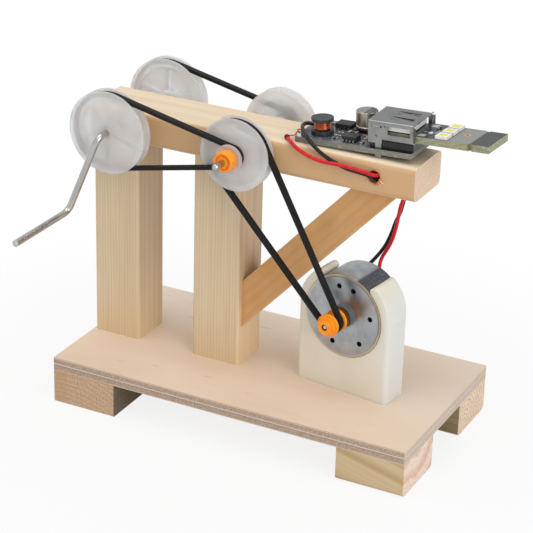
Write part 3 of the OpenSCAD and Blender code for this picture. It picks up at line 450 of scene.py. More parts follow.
post_tones = (226, 206, 174), (192, 160, 120)
left = wood_for("left_post", *post_tones, UPRIGHT, (70, 24), 0.85, 0.45, rings=0.26)
place = left.place()
x, _, z = left.parts(place)
knot = left.spot(place, on_stand(17.6, 20.9, 51.0), (0.8, 2.0, 0.7))
left.tint((1 - z.rise(0.014, 0.034)) * 0.35, 226, 188, 138)
left.tint(knot * 0.5, 178, 132, 80)
# Painted shade: the post's right side is darkened, more so higher up
painted_shade_post_side = right_side(x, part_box("left_post")[1][0])
left.tint(painted_shade_post_side * z.rise(0.012, 0.05) * 0.4, 150, 122, 94)
right = wood_for("right_post", *post_tones, UPRIGHT, (-60, 22), 0.95, 0.45, rings=0.26)
place = right.place()
x, _, z = right.parts(place)
knot = right.spot(place, on_stand(57.0, 20.9, 24.0), (0.5, 2.0, 0.8))
# Painted light: the post's right side is lightened near its foot
painted_light_post_side = right_side(x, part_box("right_post")[1][0])
right.tint(painted_light_post_side * (1 - z.rise(0.024, 0.04)) * 0.6, 250, 222, 184)
right.tint((1 - z.rise(0.014, 0.03)) * 0.3, 224, 186, 136)
right.tint(knot * 0.45, 150, 104, 66)

cut_foot = (212, 182, 150), (166, 130, 98)
front_left = wood_for(
    "foot_front_left", (206, 178, 144), (154, 120, 88), ALONG_Y, (4, -30), 1.6, 0.2, cut=cut_foot)
x, _, z = front_left.parts(front_left.place())
# Two years meet in a step of colour on the cut end, this far from its left side
joint_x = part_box("foot_front_left")[0][0] + 0.0046
front_left.tint((1 - x.rise(joint_x - 0.0002, joint_x)) * front_left.end * 0.4, 186, 150, 116)
# Painted shade: the foot's right side, under the board, is darkened almost to black
painted_shade_foot_side = right_side(x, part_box("foot_front_left")[1][0], 0.0003, 0.0001)
front_left.tint(painted_shade_foot_side * 0.8, 66, 62, 46)
glued_top = z.rise(0.0099, 0.0103) * front_left.crumbs.rise(0.3, 0.5)
front_left.tint(glued_top * 0.8, 206, 146, 88)
front_right = wood_for(
    "foot_front_right", (212, 190, 152), (180, 146, 102), ALONG_X, (-4, 60), 6.5,
    slope=-0.26, rings=0.5, cut=((246, 228, 212), (220, 180, 152)))
front_right.tint(front_right.end * front_right.late * 0.2, 212, 166, 136)
wood_for(
    "foot_back_left", (216, 190, 156), (160, 126, 92), ALONG_Y, (4, -26), 1.5, 0.2, cut=cut_foot)
back_right = wood_for(
    "foot_back_right", (228, 206, 166), (186, 146, 100), ALONG_X, (4, 2.5), 1.5,
    rings=0.5, cut=((242, 224, 202), (206, 168, 134)))
y = back_right.parts(back_right.place())[1]
foot_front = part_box("foot_back_right")[0][1]
# Painted shade: the foot's front side, under the board, is darkened
back_right.tint((1 - y.rise(foot_front + 0.0001, foot_front + 0.0003)) * 0.6, 92, 84, 62)

beam_low, beam_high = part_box("top_beam")
beam_front = beam_low[1]
beam_wood = Wood(
    "top_beam_wood", (236, 217, 190), (206, 170, 126), ALONG_X,
    (beam_front - 0.020, beam_high[2] + 0.060), 0.0026, (beam_low[0], beam_high[0]),
    rings=0.1, cut=((236, 212, 186), (216, 182, 150)),
)
place = beam_wood.place()
x, y, z = beam_wood.parts(place)
warm_front = (1 - y.rise(beam_front + 0.0003, beam_front + 0.0009)) * (1 - beam_wood.end)
beam_wood.tint(warm_front * (0.7 + beam_wood.cloud * 0.3), 206, 162, 112)
hole = on_stand(*LEAD_HOLE)
splinter = beam_wood.noise(place, 0.0011, detail=3.0)
ragged = distance(x - hole.x, z - hole.z) + (splinter - 0.5) * 0.0008
near_front = 1 - y.rise(beam_front + 0.012, beam_front + 0.016)
beam_wood.tint((1 - ragged.rise(0.0019, 0.0026)) * near_front * 0.6, 176, 102, 52)
beam_wood.tint((1 - ragged.rise(0.0017, 0.0020)) * 0.9, 84, 42, 22)
wear(beam_wood, "top_beam", bevel=0.3)

brace_low, brace_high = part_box("brace")
brace_wood = Wood(
    "brace_wood", (222, 184, 136), (186, 138, 84), ALONG_X,
    (brace_low[1] - 0.03, -0.06), 0.003, (-9.0, 9.0), slope=BRACE_SLOPE, rings=0.22,
)
place = brace_wood.place()
x, y, z = brace_wood.parts(place)
along, across = turned(x, z, BRACE_SLOPE)
smoke = brace_wood.noise(brace_wood.vector(along * 0.3, y, across), 0.005, detail=3.0)
brace_wood.tint(smoke.rise(0.35, 0.7) * 0.4, 200, 148, 88)
brace_middle = [(low + high) / 2 for low, high in zip(brace_low, brace_high)]
middle_line = turned(brace_middle[0], brace_middle[2], BRACE_SLOPE)[1]
upper_half = (across + smoke * 0.002).rise(middle_line - 0.0002, middle_line + 0.0018)
brace_wood.tint(upper_half * 0.5, 202, 142, 80)
brace_wood.tint((1 - upper_half) * 0.7, 224, 196, 158)
for middle, reach, strength in (
    ((58.5, 24.9, 49.0), (7.0, 9.0, 8.0), 0.55), ((55.0, 24.9, 38.0), (4.0, 9.0, 6.0), 0.35),
):
    smear = brace_wood.spot(place, on_stand(*middle), reach)
    brace_wood.tint(smear * strength, 204, 142, 72)
smear = brace_wood.spot(place, on_stand(77.5, 24.9, 66.0), (5.0, 9.0, 5.0))
brace_wood.tint(smear * smoke.rise(0.3, 0.6) * 0.25, 164, 136, 104)
wear(brace_wood, "brace", bevel=0.4)


# Metal


def around_motor(finish):
    """Across, along and above the motor's axis, in metres, from its front face."""
    x, y, z = finish.parts(finish.place())
    middle = on_stand(*MOTOR_AXIS)
    side, ahead = x - middle[0], y - middle[1]
    lean, drop = math.cos(MOTOR_TURN), math.sin(MOTOR_TURN)
    return side * lean - ahead * drop, side * drop + ahead * lean, z - middle[2]


def board_coordinates(finish, board_to_stand):
    """The point on a board, in millimetres along, across and above it."""
    to_stand = Matrix.Translation(-STAND_CORNER) @ Matrix.Scale(1 / MM, 4)
    inverse = board_to_stand.inverted() @ to_stand
    x, y, z = finish.parts(finish.place())
    return [x * row[0] + y * row[1] + z * row[2] + row[3] for row in list(inverse)[:3]]


steel = Finish("bright_wire", (206, 205, 203), 0.18, 1.0)
drawn = steel.noise(steel.place(), 0.006, detail=1.0)
steel.drive("Roughness", 0.2 + drawn * 0.08)
steel.paint((182, 182, 181), (drawn.rise(0.3, 0.7), (198, 197, 195)))
wear(steel, "crank_wire", "driven_axle")
for name in ("crank_wire", "driven_axle"):
    nodes[name].modifiers.new("even_sheen", "WEIGHTED_NORMAL").keep_sharp = True

# The motor's shaft ends in its pulley's nose, behind a ring of shade
shaft_steel = Finish("shaft_wire", (200, 199, 198), 0.22, 1.0)
across, depth, above = around_motor(shaft_steel)
to_motor = Matrix.Rotation(MOTOR_TURN, 3, "Z")
shaft_front = min(
    (to_motor @ (vertex.co - on_stand(*MOTOR_AXIS))).y
    for vertex in nodes["motor_shaft"].data.vertices
)
nose = 1 - depth.rise(shaft_front + 0.00025, shaft_front + 0.0003)
ring = nose * distance(across, above).rise(0.00042, 0.00052)
shaft_steel.paint((200, 199, 198), (ring, (110, 52, 14)))
shaft_steel.drive("Metallic", 1 - ring)
shaft_steel.drive("Roughness", 0.2 + ring * 0.4)
wear(shaft_steel, "motor_shaft")

zinc = Finish("zinc_plate", (176, 178, 180), 0.4, 1.0)
place = zinc.place()
across, depth, above = around_motor(zinc)
radius = distance(across, above)
stain = zinc.noise(place, 0.004, detail=5.0, roughness=0.62)
scratched = zinc.vector(across + above * 0.25, depth, above * 0.04)
scratch = zinc.noise(scratched, 0.00025, detail=3.0)
speck = zinc.noise(place, 0.00035, detail=2.0)
# Painted highlight: the bearing's collar is lightened
painted_highlight_collar = 1 - radius.rise(0.0028, 0.0030)
# Painted shade: a darker ring round the collar's foot
painted_shade_collar_foot = radius.between(0.0030, 0.0034, 0.0003)
zinc.paint(
    (156, 161, 166),
    (stain.rise(0.3, 0.7), (178, 182, 186)),
    (scratch.rise(0.56, 0.72) * 0.4, (206, 207, 207)),
    (speck.rise(0.68, 0.78) * 0.35, (110, 112, 116)),
    (painted_highlight_collar * 0.6, (222, 218, 212)),
    (painted_shade_collar_foot * 0.4, (96, 96, 98)),
)
zinc.drive("Roughness", 0.2 + stain * 0.16 + speck * 0.06)
zinc.bump(stain * 0.4 + scratch * 0.25 + speck * 0.2, 0.00002, 0.4)
wear(zinc, "motor_front_plate", bevel=0.1)

can_metal = Finish("motor_can_metal", (150, 153, 158), 0.36, 1.0)
across, depth, above = around_motor(can_metal)
turned_lines = can_metal.vector(across * 0.03, depth, above * 0.03)
turned_lines = can_metal.noise(turned_lines, 0.0002, detail=3.0)
blotch = can_metal.noise(can_metal.place(), 0.003, detail=4.0, roughness=0.6)
dark_band = across.rise(0.0036, 0.0044) * above.rise(-0.004, -0.002)
marks = can_metal.noise(can_metal.vector(across, depth * 3.0, above * 0.2), 0.0011, detail=4.0)
# Painted reflection: a cream ring on the can's front rim, where the bracket shows in it
painted_reflection_rim = (1 - depth.rise(0.0003, 0.0005)) * distance(across, above).rise(0.01185, 0.012)
can_metal.paint(
    (162, 168, 174),
    (blotch.rise(0.35, 0.65), (188, 192, 196)),
    (dark_band * 0.92, (84, 88, 96)),
    (dark_band * marks.rise(0.56, 0.66) * 0.55, (168, 172, 178)),
    (painted_reflection_rim * 0.8, (206, 186, 152)),
)
can_metal.drive("Roughness", 0.3 + turned_lines * 0.2 + dark_band * 0.14)
can_metal.bump(turned_lines * 0.6 + marks * dark_band, 0.000015, 0.4)
wear(can_metal, "motor_can", bevel=0.22)

bronze = grained_finish(
    "sintered_bronze", (158, 116, 74), 0.5, (0.00025, 0.36, 0.6, 0.00003),
    (0.35, 0.7, (132, 94, 58), (178, 136, 92)), 1.0)
wear(bronze, "motor_bearing", "motor_rear_bearing")
brass = grained_finish(
    "brass_tabs", (198, 168, 104), 0.32, (0.001, 0.25, 0.45),
    (0.3, 0.7, (204, 174, 108), (176, 142, 84)), 1.0)
wear(brass, "motor_terminals", bevel=0.05)
copper = grained_finish(
    "bare_copper", (214, 132, 88), 0.28, (0.0006, 0.2, 0.4),
    (0.3, 0.7, (220, 140, 96), (186, 102, 62)), 1.0)
wear(copper, "motor_commutator")
enamel = grained_finish(
    "enamelled_copper", (214, 110, 60), 0.22, (0.0005, 0.16, 0.34),
    (0.3, 0.7, (226, 124, 72), (188, 82, 40)), 1.0, Coat_Weight=0.5)
wear(enamel, "motor_windings")
gilded = grained_finish(
    "gilded_contacts", (220, 162, 92), 0.3, (0.0008, 0.22, 0.42), metallic=1.0)
wear(gilded, "usb_contacts")
tin = grained_finish(
    "solder", (206, 207, 208), 0.28, (0.0004, 0.18, 0.42, 0.00005),
    (0.35, 0.7, (190, 191, 192), (224, 224, 222)), 1.0)
wear(tin, "solder_joints")
dull_tin = grained_finish(
    "dull_legs", (130, 130, 132), 0.34, (0.0004, 0.24, 0.44),
    (0.35, 0.7, (112, 112, 114), (168, 164, 158)), 1.0)
wear(dull_tin, "chip_legs")
laminations = Finish("iron_laminations", (120, 121, 124), 0.45, 1.0)
depth = around_motor(laminations)[1]
sheets = (depth / 0.0005).within_turn().between(0.1, 0.8, 0.1)
laminations.paint((60, 60, 62), (sheets, (132, 133, 136)))
laminations.drive("Roughness", 0.6 - sheets * 0.18)
wear(laminations, "motor_armature")

nickel = Finish("nickel_shell", (172, 171, 167), 0.26, 1.0)
place = nickel.place()
x, y, z = nickel.parts(place)
haze = nickel.noise(place, 0.0035, detail=4.0)
rolled = nickel.noise(nickel.vector(x * 0.05, y, z), 0.00015, detail=2.0)
dents = 0.0
for u, v, w, size in (
    (24.6, 0.7, 5.0, 0.6), (27.2, 0.7, 8.0, 0.5), (23.6, 3.6, 9.5, 0.35), (28.0, 9.5, 9.5, 0.35),
    (26.2, 6.6, 9.5, 0.3), (29.6, 12.6, 9.5, 0.3),
):
    dents = nickel.spot(place, on_circuit(u, v, w), size) + dents
w = board_coordinates(nickel, CIRCUIT_TO_STAND)[2]
nickel.paint(
    (138, 140, 141),
    (haze.rise(0.3, 0.7), (158, 157, 154)),
    # Painted shade: the shell's top is darker than its sides
    (w.rise(SHELL_TOP, SHELL_TOP + 0.2) * 0.5, (112, 114, 116)),
)
nickel.drive("Roughness", 0.2 + haze * 0.12 + rolled * 0.08)
nickel.bump(rolled * 0.02 - dents, 0.0003, 0.8)
wear(nickel, "usb_shell", bevel=0.12)

can_skin = Finish("capacitor_aluminium", (188, 182, 176), 0.3, 1.0)
place = can_skin.place()
x, y, z = can_skin.parts(place)
draw_lines = can_skin.noise(can_skin.vector(x, y, z * 0.03), 0.0002, detail=2.0)
u, _, w = board_coordinates(can_skin, CIRCUIT_TO_STAND)
lid = w.rise(CAPACITOR_LID, CAPACITOR_LID + 0.15)
flaked = can_skin.noise(place, 0.0007, detail=2.0)
mark = (u - CAPACITOR_X).rise(0.1, 0.5) * flaked.rise(0.36, 0.5) * lid
can_skin.paint(
    (172, 154, 138),
    (draw_lines, (212, 200, 186)),
    (lid * 0.8, (150, 153, 156)),
    (mark * 0.8, (66, 66, 70)),
)
can_skin.drive("Roughness", 0.26 + draw_lines * 0.14 + lid * 0.12)
wear(can_skin, "capacitor_can", bevel=0.15)


# Plastic, rubber and ceramic

frosted = Finish(
    "frosted_pulley", (243, 243, 243), 0.54,
    Subsurface_Weight=0.4, Subsurface_Radius=(1.0, 0.95, 0.9), Subsurface_Scale=0.004,
    Transmission_Weight=0.5, IOR=1.14,
)
place = frosted.place()
x, _, z = frosted.parts(place)
flow = frosted.noise(place, 0.008, detail=2.0)
moulded_rings_and_highlight = 0.0
painted_highlight_rims = 0.0
# Each axis with the radius that its moulded rings reach and the radius of its rim's inside
for axis_x, reach, edge in ((CRANK_X, 12.4, 15.6), (AXLE_X, 11.0, 13.6)):
    middle = on_stand(axis_x, 0, AXLE_HEIGHT)
    above = z - middle.z
    radius = distance(x - middle.x, above)
    near = 1 - radius.rise(reach * MM, reach * MM + 0.0006)
    moulded = (radius / 0.0011).within_turn().between(0.3, 0.5, 0.2) * radius.rise(0.006, 0.0095)
    top_and_foot = above.rise(0.004, 0.009).larger(1 - above.rise(-0.009, -0.004))
    painted_highlight_rims = radius.between(edge * MM, (edge + 3.0) * MM, 0.0008) + painted_highlight_rims
    moulded_rings_and_highlight = moulded * near * top_and_foot + moulded_rings_and_highlight
bush_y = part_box("front_bush")[1][1] / MM - STAND_CORNER.y
# Painted light: a pink glow round the front bush, as if its orange shone through the plastic
painted_orange_glow = frosted.spot(place, on_stand(AXLE_X, bush_y, AXLE_HEIGHT), 6.5, 0.5)
frosted.paint(
    (243, 244, 245),
    (flow.rise(0.3, 0.7), (237, 234, 232)),
    # Moulded rings at top and foot: raised by the bump and lightened as a painted highlight
    (moulded_rings_and_highlight * 0.08, (246, 244, 242)),
    # Painted highlight: a whiter band on each rim, from its inside outwards
    (painted_highlight_rims * 0.6, (254, 254, 254)),
    (painted_orange_glow * 0.6, (248, 200, 190)),
)
skin = frosted.noise(place, 0.0004, detail=2.0)
frosted.drive("Roughness", 0.54 + skin * 0.1)
frosted.bump(skin * 0.5 + moulded_rings_and_highlight * 0.5, 0.00001, 0.4)
wear(
    frosted, "front_crank_pulley", "back_crank_pulley", "front_step_pulley",
    "back_step_pulley", bevel=0.18)

orange = grained_finish(
    "orange_plastic", (255, 150, 30), 0.4, (0.0008, 0.34, 0.48, 0.00003),
    (0.35, 0.7, (255, 164, 44), (255, 150, 26)),
    Subsurface_Weight=0.15, Subsurface_Scale=0.001, Specular_IOR_Level=0.3)
wear(orange, "front_bush", "back_bush", "motor_pulley", bevel=0.12)

belt_rubber = Finish("belt_rubber", (26, 27, 28), 0.62, Specular_IOR_Level=0.25)
speck = belt_rubber.noise(belt_rubber.place(), 0.00022, detail=4.0, roughness=0.7)
belt_rubber.paint((12, 12, 13), (speck.rise(0.46, 0.72), (50, 52, 53)))
belt_rubber.drive("Roughness", 0.5 + speck * 0.3)
belt_rubber.bump(speck, 0.00004, 0.6)
wear(belt_rubber, "front_crank_belt", "back_crank_belt", "motor_belt", bevel=0.16)

ivory = Finish(
    "ivory_moulding", (236, 230, 216), 0.42,
    Subsurface_Weight=0.4, Subsurface_Radius=(1.0, 0.88, 0.7), Subsurface_Scale=0.003,
)
place = ivory.place()
x, _, z = ivory.parts(place)
wax = ivory.noise(place, 0.013, detail=2.0)
fine = ivory.noise(place, 0.0005, detail=2.0)
near_board = 1 - z.rise(0.013, 0.034)
# Painted light: the bracket's right side is cooler and greyer, as lit from the right
painted_light_bracket_side = right_side(x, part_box("motor_bracket")[1][0], 0.005, 0.0006)
ivory.paint(
    (236, 230, 216),
    (wax.rise(0.25, 0.75), (229, 222, 205)),
    (near_board * 0.35, (230, 216, 192)),
    (painted_light_bracket_side * 0.75, (222, 225, 224)),
)
ivory.drive("Roughness", 0.36 + fine * 0.12)
ivory.bump(fine + wax * 2.0, 0.00003, 0.4)
wear(ivory, "motor_bracket", bevel=0.5, segments=3)

black_plastic = grained_finish(
    "black_plastic", (12, 12, 14), 0.3, (0.0006, 0.2, 0.36, 0.00003))
wear(black_plastic, "usb_riser", bevel=0.15)
wear(black_plastic, "capacitor_base", bevel=0.1)
wear(black_plastic, "motor_end_cap")
chip_plastic = grained_finish(
    "chip_plastic", (44, 44, 47), 0.5, (0.0003, 0.42, 0.62, 0.00003),
    (0.4, 0.7, (22, 22, 24), (44, 45, 48)))
wear(chip_plastic, "power_chips", bevel=0.12)
carbon = grained_finish("carbon_brushes", (44, 42, 42), 0.6, (0.0003, 0.5, 0.7))
wear(carbon, "motor_brushes")
magnet = grained_finish("magnet_ring", (62, 62, 66), 0.5, (0.0008, 0.4, 0.6))
wear(magnet, "motor_magnet")
ferrite = grained_finish(
    "ferrite_drum", (62, 63, 66), 0.42, (0.00035, 0.34, 0.6, 0.00006),
    (0.42, 0.78, (26, 29, 33), (84, 89, 96)))
wear(ferrite, "inductor_core", bevel=0.22)
white_plastic = grained_finish(
    "white_plastic", (240, 236, 232), 0.35, (0.0006, 0.3, 0.45),
    Subsurface_Weight=0.1, Subsurface_Scale=0.001)
wear(white_plastic, "usb_tongue", bevel=0.06)
wear(white_plastic, "lamp_leds", bevel=0.14)
phosphor = grained_finish(
    "lamp_phosphor", (236, 226, 76), 0.4, (0.0004, 0.3, 0.5),
    (0.3, 0.7, (238, 232, 100), (224, 214, 60)))
wear(phosphor, "lamp_phosphor", bevel=0.1)
clay = grained_finish(
    "brown_ceramic", (150, 122, 94), 0.45, (0.0004, 0.35, 0.55),
    (0.35, 0.7, (134, 106, 80), (170, 142, 112)))
black_film = grained_finish("black_film", (30, 30, 33), 0.35, (0.0004, 0.3, 0.45))
red_cover = grained_finish(
    "red_insulation", (214, 16, 34), 0.32, (0.0015, 0.22, 0.36),
    (0.3, 0.7, (222, 16, 38), (196, 10, 26)), Specular_IOR_Level=0.35)
black_cover = grained_finish(
    "black_insulation", (26, 26, 28), 0.38, (0.0015, 0.32, 0.46),
    (0.3, 0.7, (12, 12, 14), (24, 24, 26)), Specular_IOR_Level=0.35)
torn_wood = grained_finish(
    "torn_fibres", (222, 182, 132), 0.7, (0.0006, 0.6, 0.8),
    (0.35, 0.65, (240, 202, 156), (206, 140, 84)))


# Circuit boards: dark mask above and below, pale laminate at the edges

MASK_DARK, MASK_BLUE = (50, 55, 66), (82, 90, 104)


def laminate(finish, u, v, w):
    """The cut edge of a board: pale green with fibre flecks, whose mask comes second."""
    fibres = finish.vector(u * MM * 0.3, v * MM * 0.3, w * MM)
    fleck = finish.noise(fibres, 0.0005, detail=4.0, roughness=0.7)
    return finish.layers((128, 131, 100), (fleck.rise(0.3, 0.72), (176, 177, 146))), fleck


board = Finish("circuit_mask", MASK_DARK, 0.3, Specular_IOR_Level=0.5)
u, v, w = board_coordinates(board, CIRCUIT_TO_STAND)
flat = board.vector(u, v, 0.0)
edge_color, fleck = laminate(board, u, v, w)
edge_color = board.layers(
    edge_color,
    (0.8, (120, 119, 114)),
    (fleck.rise(0.52, 0.66) * 0.6, (176, 176, 170)),
    # The edge's left end is darker brown: partly flux, partly painted shade
    ((1 - u.rise(3.0, 10.0)) * 0.5, (104, 90, 78)),
)
track = board.add(
    "TexVoronoi", {"feature": "DISTANCE_TO_EDGE"},
    {"Vector": board.vector(u * 0.62, v * 0.62, 0.0), "Scale": 1.0})
copper_under = track.rise(0.03, 0.07)
cloud = board.noise(flat, 2.2, detail=3.0)
dash = board.add("TexBrick", {"offset": 0.37}, {
    "Vector": flat, "Color1": (1, 1, 1, 1), "Color2": (0, 0, 0, 1), "Mortar": (0, 0, 0, 1),
    "Scale": 0.75, "Mortar Size": 0.3, "Bias": -0.1, "Brick Width": 1.1, "Row Height": 0.6,
})
marks = board.add("RGBToBW", inputs=[dash]) * board.noise(flat, 2.0, detail=1.0).rise(0.36, 0.46)
printed = marks.rise(0.3, 0.6) * (1 - u.rise(21.0, 22.0))
residue = board.noise(flat, 0.42, detail=3.0, roughness=0.7).rise(0.54, 0.62)
residue = residue * board.noise(board.vector(u, v, 3.0), 3.0, detail=1.0).rise(0.36, 0.6)
front_strip = (1 - v.rise(0.7, 1.0)) * (1 - u.rise(21.6, 22.0))
mask_color = board.layers(
    MASK_BLUE,
    (copper_under, MASK_DARK),
    (cloud.rise(0.42, 0.66) * 0.6, (112, 118, 128)),
    (printed * 0.75, (206, 212, 218)),
    (residue * 0.75 * (1 - u.rise(20.0, 22.0)), (168, 176, 186)),
    (u.rise(22.0, 24.0) * 0.85, (16, 18, 22)),
    (front_strip * 0.6, (128, 124, 120)),
)
side = w.between(0.02, CIRCUIT_THICKNESS - 0.02, 0.01)
board.paint(mask_color, (side, edge_color))
board.drive("Roughness", 0.25 + side * 0.35 + printed * 0.2)
board.bump(copper_under * 0.5 + printed * 0.3, 0.00004, 0.5)
wear(board, "circuit_board", bevel=0.06)

lamp_mask = Finish("lamp_mask", MASK_DARK, 0.32)
u, v, w = board_coordinates(lamp_mask, LAMP_TO_STAND)
edge_color, fleck = laminate(lamp_mask, u, v, w)
burnt = fleck.rise(0.4, 0.6) * u.between(16.4, 18.0, 0.3)
edge_color = lamp_mask.layers(edge_color, (burnt * 0.8, (128, 100, 58)))
dust = lamp_mask.noise(lamp_mask.vector(u, v, 0.0), 1.6, detail=4.0)
bare_strip = u.between(10.6, 17.0, 0.12)
cut_line = u.between(16.85, 17.05, 0.06)
from_via = distance(u - LAMP_VIA[0], v - LAMP_VIA[1])
lamp_top = lamp_mask.layers(
    (50, 53, 58),
    (dust.rise(0.4, 0.7), (66, 69, 74)),
    (bare_strip, (134, 138, 134)),
    (u.rise(17.1, 17.3), (30, 35, 42)),
    (cut_line * 0.7, (150, 132, 92)),
    (from_via.between(0.4, 0.98, 0.08), (214, 140, 66)),
    (1 - from_via.rise(0.32, 0.4), (60, 40, 26)),
)
for pad_v in (-4.2, 4.2):
    pad = u.between(1.0, 3.0, 0.06) * v.between(pad_v - 0.9, pad_v + 0.9, 0.06)
    lamp_top = lamp_mask.layers(lamp_top, (pad * 0.8, (206, 208, 208)))
line = v.between(-1.3, -1.1, 0.05) * u.between(1.2, 4.6, 0.1)
line = line.larger(u.between(4.7, 4.9, 0.05) * v.between(-1.3, 1.2, 0.1))
side = w.between(0.02, LAMP_THICKNESS - 0.02, 0.01)
lamp_mask.paint(lamp_top, (line * 0.8, (220, 222, 224)), (side, edge_color))
lamp_mask.drive("Roughness", 0.3 + side * 0.35 + bare_strip * 0.12)
wear(lamp_mask, "lamp_board", bevel=0.08)


# Small pieces on the boards


class Blocks:
    """Several small blocks in one mesh, each with its own finish."""

    FACES = [(3, 2, 1, 0), (4, 5, 6, 7), (0, 1, 5, 4), (1, 2, 6, 5), (2, 3, 7, 6), (3, 0, 4, 7)]

    def __init__(self, name, to_stand, finishes):
        self.name = name
        self.to_stand = to_stand
        self.finishes = finishes
        self.bm = bmesh.new()

    def block(self, low, size, finish, squeeze=0.0):
        """One block from its lowest corner; squeeze narrows its top on every side."""
        corners = []
        for level in (0, 1):
            inset = squeeze * level
            for du, dv in ((0, 0), (1, 0), (1, 1), (0, 1)):
                u = low[0] + du * size[0] + (inset if du == 0 else -inset)
                v = low[1] + dv * size[1] + (inset if dv == 0 else -inset)
                corner = self.to_stand @ Vector((u, v, low[2] + level * size[2]))
                corners.append(self.bm.verts.new(on_stand(*corner)))
        for face in self.FACES:
            made = self.bm.faces.new([corners[number] for number in face])
            made.material_index = self.finishes.index(finish)

    def piece(self, body, bevel=0.06):
        mesh = bpy.data.meshes.new(self.name)
        self.bm.to_mesh(mesh)
        self.bm.free()
        for finish in self.finishes:
            mesh.materials.append(finish.material)
        made = bpy.data.objects.new(self.name, mesh)
        bpy.context.scene.collection.objects.link(made)
        edge = made.modifiers.new("soft_edges", "BEVEL")
        edge.width = bevel * MM
        edge.segments = 2
        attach(made, body)
        return made


small = Blocks("small_parts_detail", CIRCUIT_TO_STAND, [clay, black_film, tin])
for index, (u, v, length, width, height) in enumerate(SMALL_PARTS):
    body = black_film if index in (0, 3, 5, 7) else clay
    cap = 0.22 * max(length, width)
    lift = CIRCUIT_THICKNESS
    if length > width:
        size = (length - 2 * cap, width - 0.06, height - 0.03)
        small.block((u + cap, v + 0.03, lift), size, body)
        for end in (u, u + length - cap):
            small.block((end, v, lift), (cap, width, height), tin)
    else:
        size = (length - 0.06, width - 2 * cap, height - 0.03)
        small.block((u + 0.03, v + cap, lift), size, body)
        for end in (v, v + width - cap):
            small.block((u, end, lift), (length, cap, height), tin)
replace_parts(small.piece("stand"), "small_parts")

# Tinned pads round the chips' legs and under the small parts
pads = Blocks("tinned_pads", CIRCUIT_TO_STAND, [dull_tin])
pad_low, pad_height = CIRCUIT_THICKNESS - 0.02, 0.08
for u, v, length, width in CHIPS:
    for leg in range(4):
        middle = u + length * (leg + 0.5) / 4
        for toe in (v - 1.15, v + width + 0.45):
            pads.block((middle - 0.34, toe, pad_low), (0.68, 0.7, pad_height), dull_tin, 0.05)
for u, v, length, width, _ in SMALL_PARTS:
    if length > width:
        ends, size = ((u - 0.3, v), (u + length - 0.1, v)), (0.4, width, pad_height)
    else:
        ends, size = ((u, v - 0.3), (u, v + width - 0.1)), (length, 0.4, pad_height)
    for end in ends:
        pads.block((*end, pad_low), size, dull_tin, 0.04)
pads.piece("stand", 0.02)

lamp_small = Blocks("lamp_resistors", LAMP_TO_STAND, [white_plastic, black_film, tin])
for v, body in ((-3.4, white_plastic), (1.7, black_film)):
    lamp_small.block((3.43, v + 0.35, LAMP_THICKNESS), (0.84, 1.0, 0.47), body)
    for end in (v, v + 1.35):
        lamp_small.block((3.4, end, LAMP_THICKNESS), (0.9, 0.35, 0.5), tin)
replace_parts(lamp_small.piece("lamp"), "lamp_parts")


# Leads, strands, the winding and splinters, each a round line along its route


def line_piece(name, routes, thickness, finish, smooth=True):
    """A curve along each route, in the frame's metres, as thick as thickness in millimetres."""
    curve = bpy.data.curves.new(name, "CURVE")
    curve.dimensions = "3D"
    curve.bevel_depth = thickness * MM / 2
    curve.bevel_resolution = 4
    curve.resolution_u = 6
    curve.use_fill_caps = True
    for route in routes:
        spline = curve.splines.new("BEZIER" if smooth else "POLY")
        if smooth:
            spline.bezier_points.add(len(route) - 1)
            for knot, point in zip(spline.bezier_points, route):
                knot.co = point
                knot.handle_left_type = knot.handle_right_type = "AUTO"
        else:
            spline.points.add(len(route) - 1)
            for knot, point in zip(spline.points, route):
                knot.co = (*point, 1.0)
    curve.materials.append(finish.material)
    made = bpy.data.objects.new(name, curve)
    bpy.context.scene.collection.objects.link(made)
    return made


red_route = [
    (63.9, 23.6, 89.95), (64.7, 22.8, 89.95), (65.5, 22, 89.95), (66.3, 21.2, 89.9),
    (67.2, 20.4, 89.8), (68.3, 19.7, 89.4), (69.6, 19.5, 88.7), (71.5, 19.4, 87.9),
    (73.8, 19.3, 87.2), (76.2, 19.1, 86.9), (78.8, 19, 86.8), (83, 18.9, 86.9),
    (87.6, 18.7, 86.7), (90.3, 18.6, 86.5), (91.7, 18.8, 86.2), (92.7, 19.3, 85.9),
    (93.2, 20.3, 85.5), (93.3, 21.7, 85.2), (93.3, 25.9, 85.1), (93.3, 33.9, 85.1),
    (93.26, 40.78, 84.22), (93.19, 41.14, 83.45), (93.44, 41.45, 81.93), (93.35, 41.54, 80.02),
    (93.39, 41.39, 77.35), (93.4, 41.12, 74.29), (93.1, 40.94, 71.24), (92.44, 40.79, 68.57),
    (91.98, 40.84, 65.9), (91.62, 40.79, 63.22), (91.02, 40.82, 60.17), (90.12, 40.84, 57.12),
    (88.96, 40.79, 54.45), (87.84, 40.46, 52.16), (87.49, 39.88, 50.63), (87.68, 38.91, 49.48),
    (88.17, 37.85, 48.34), (88.55, 37.18, 47.19), (88.58, 37.04, 46.43),
]
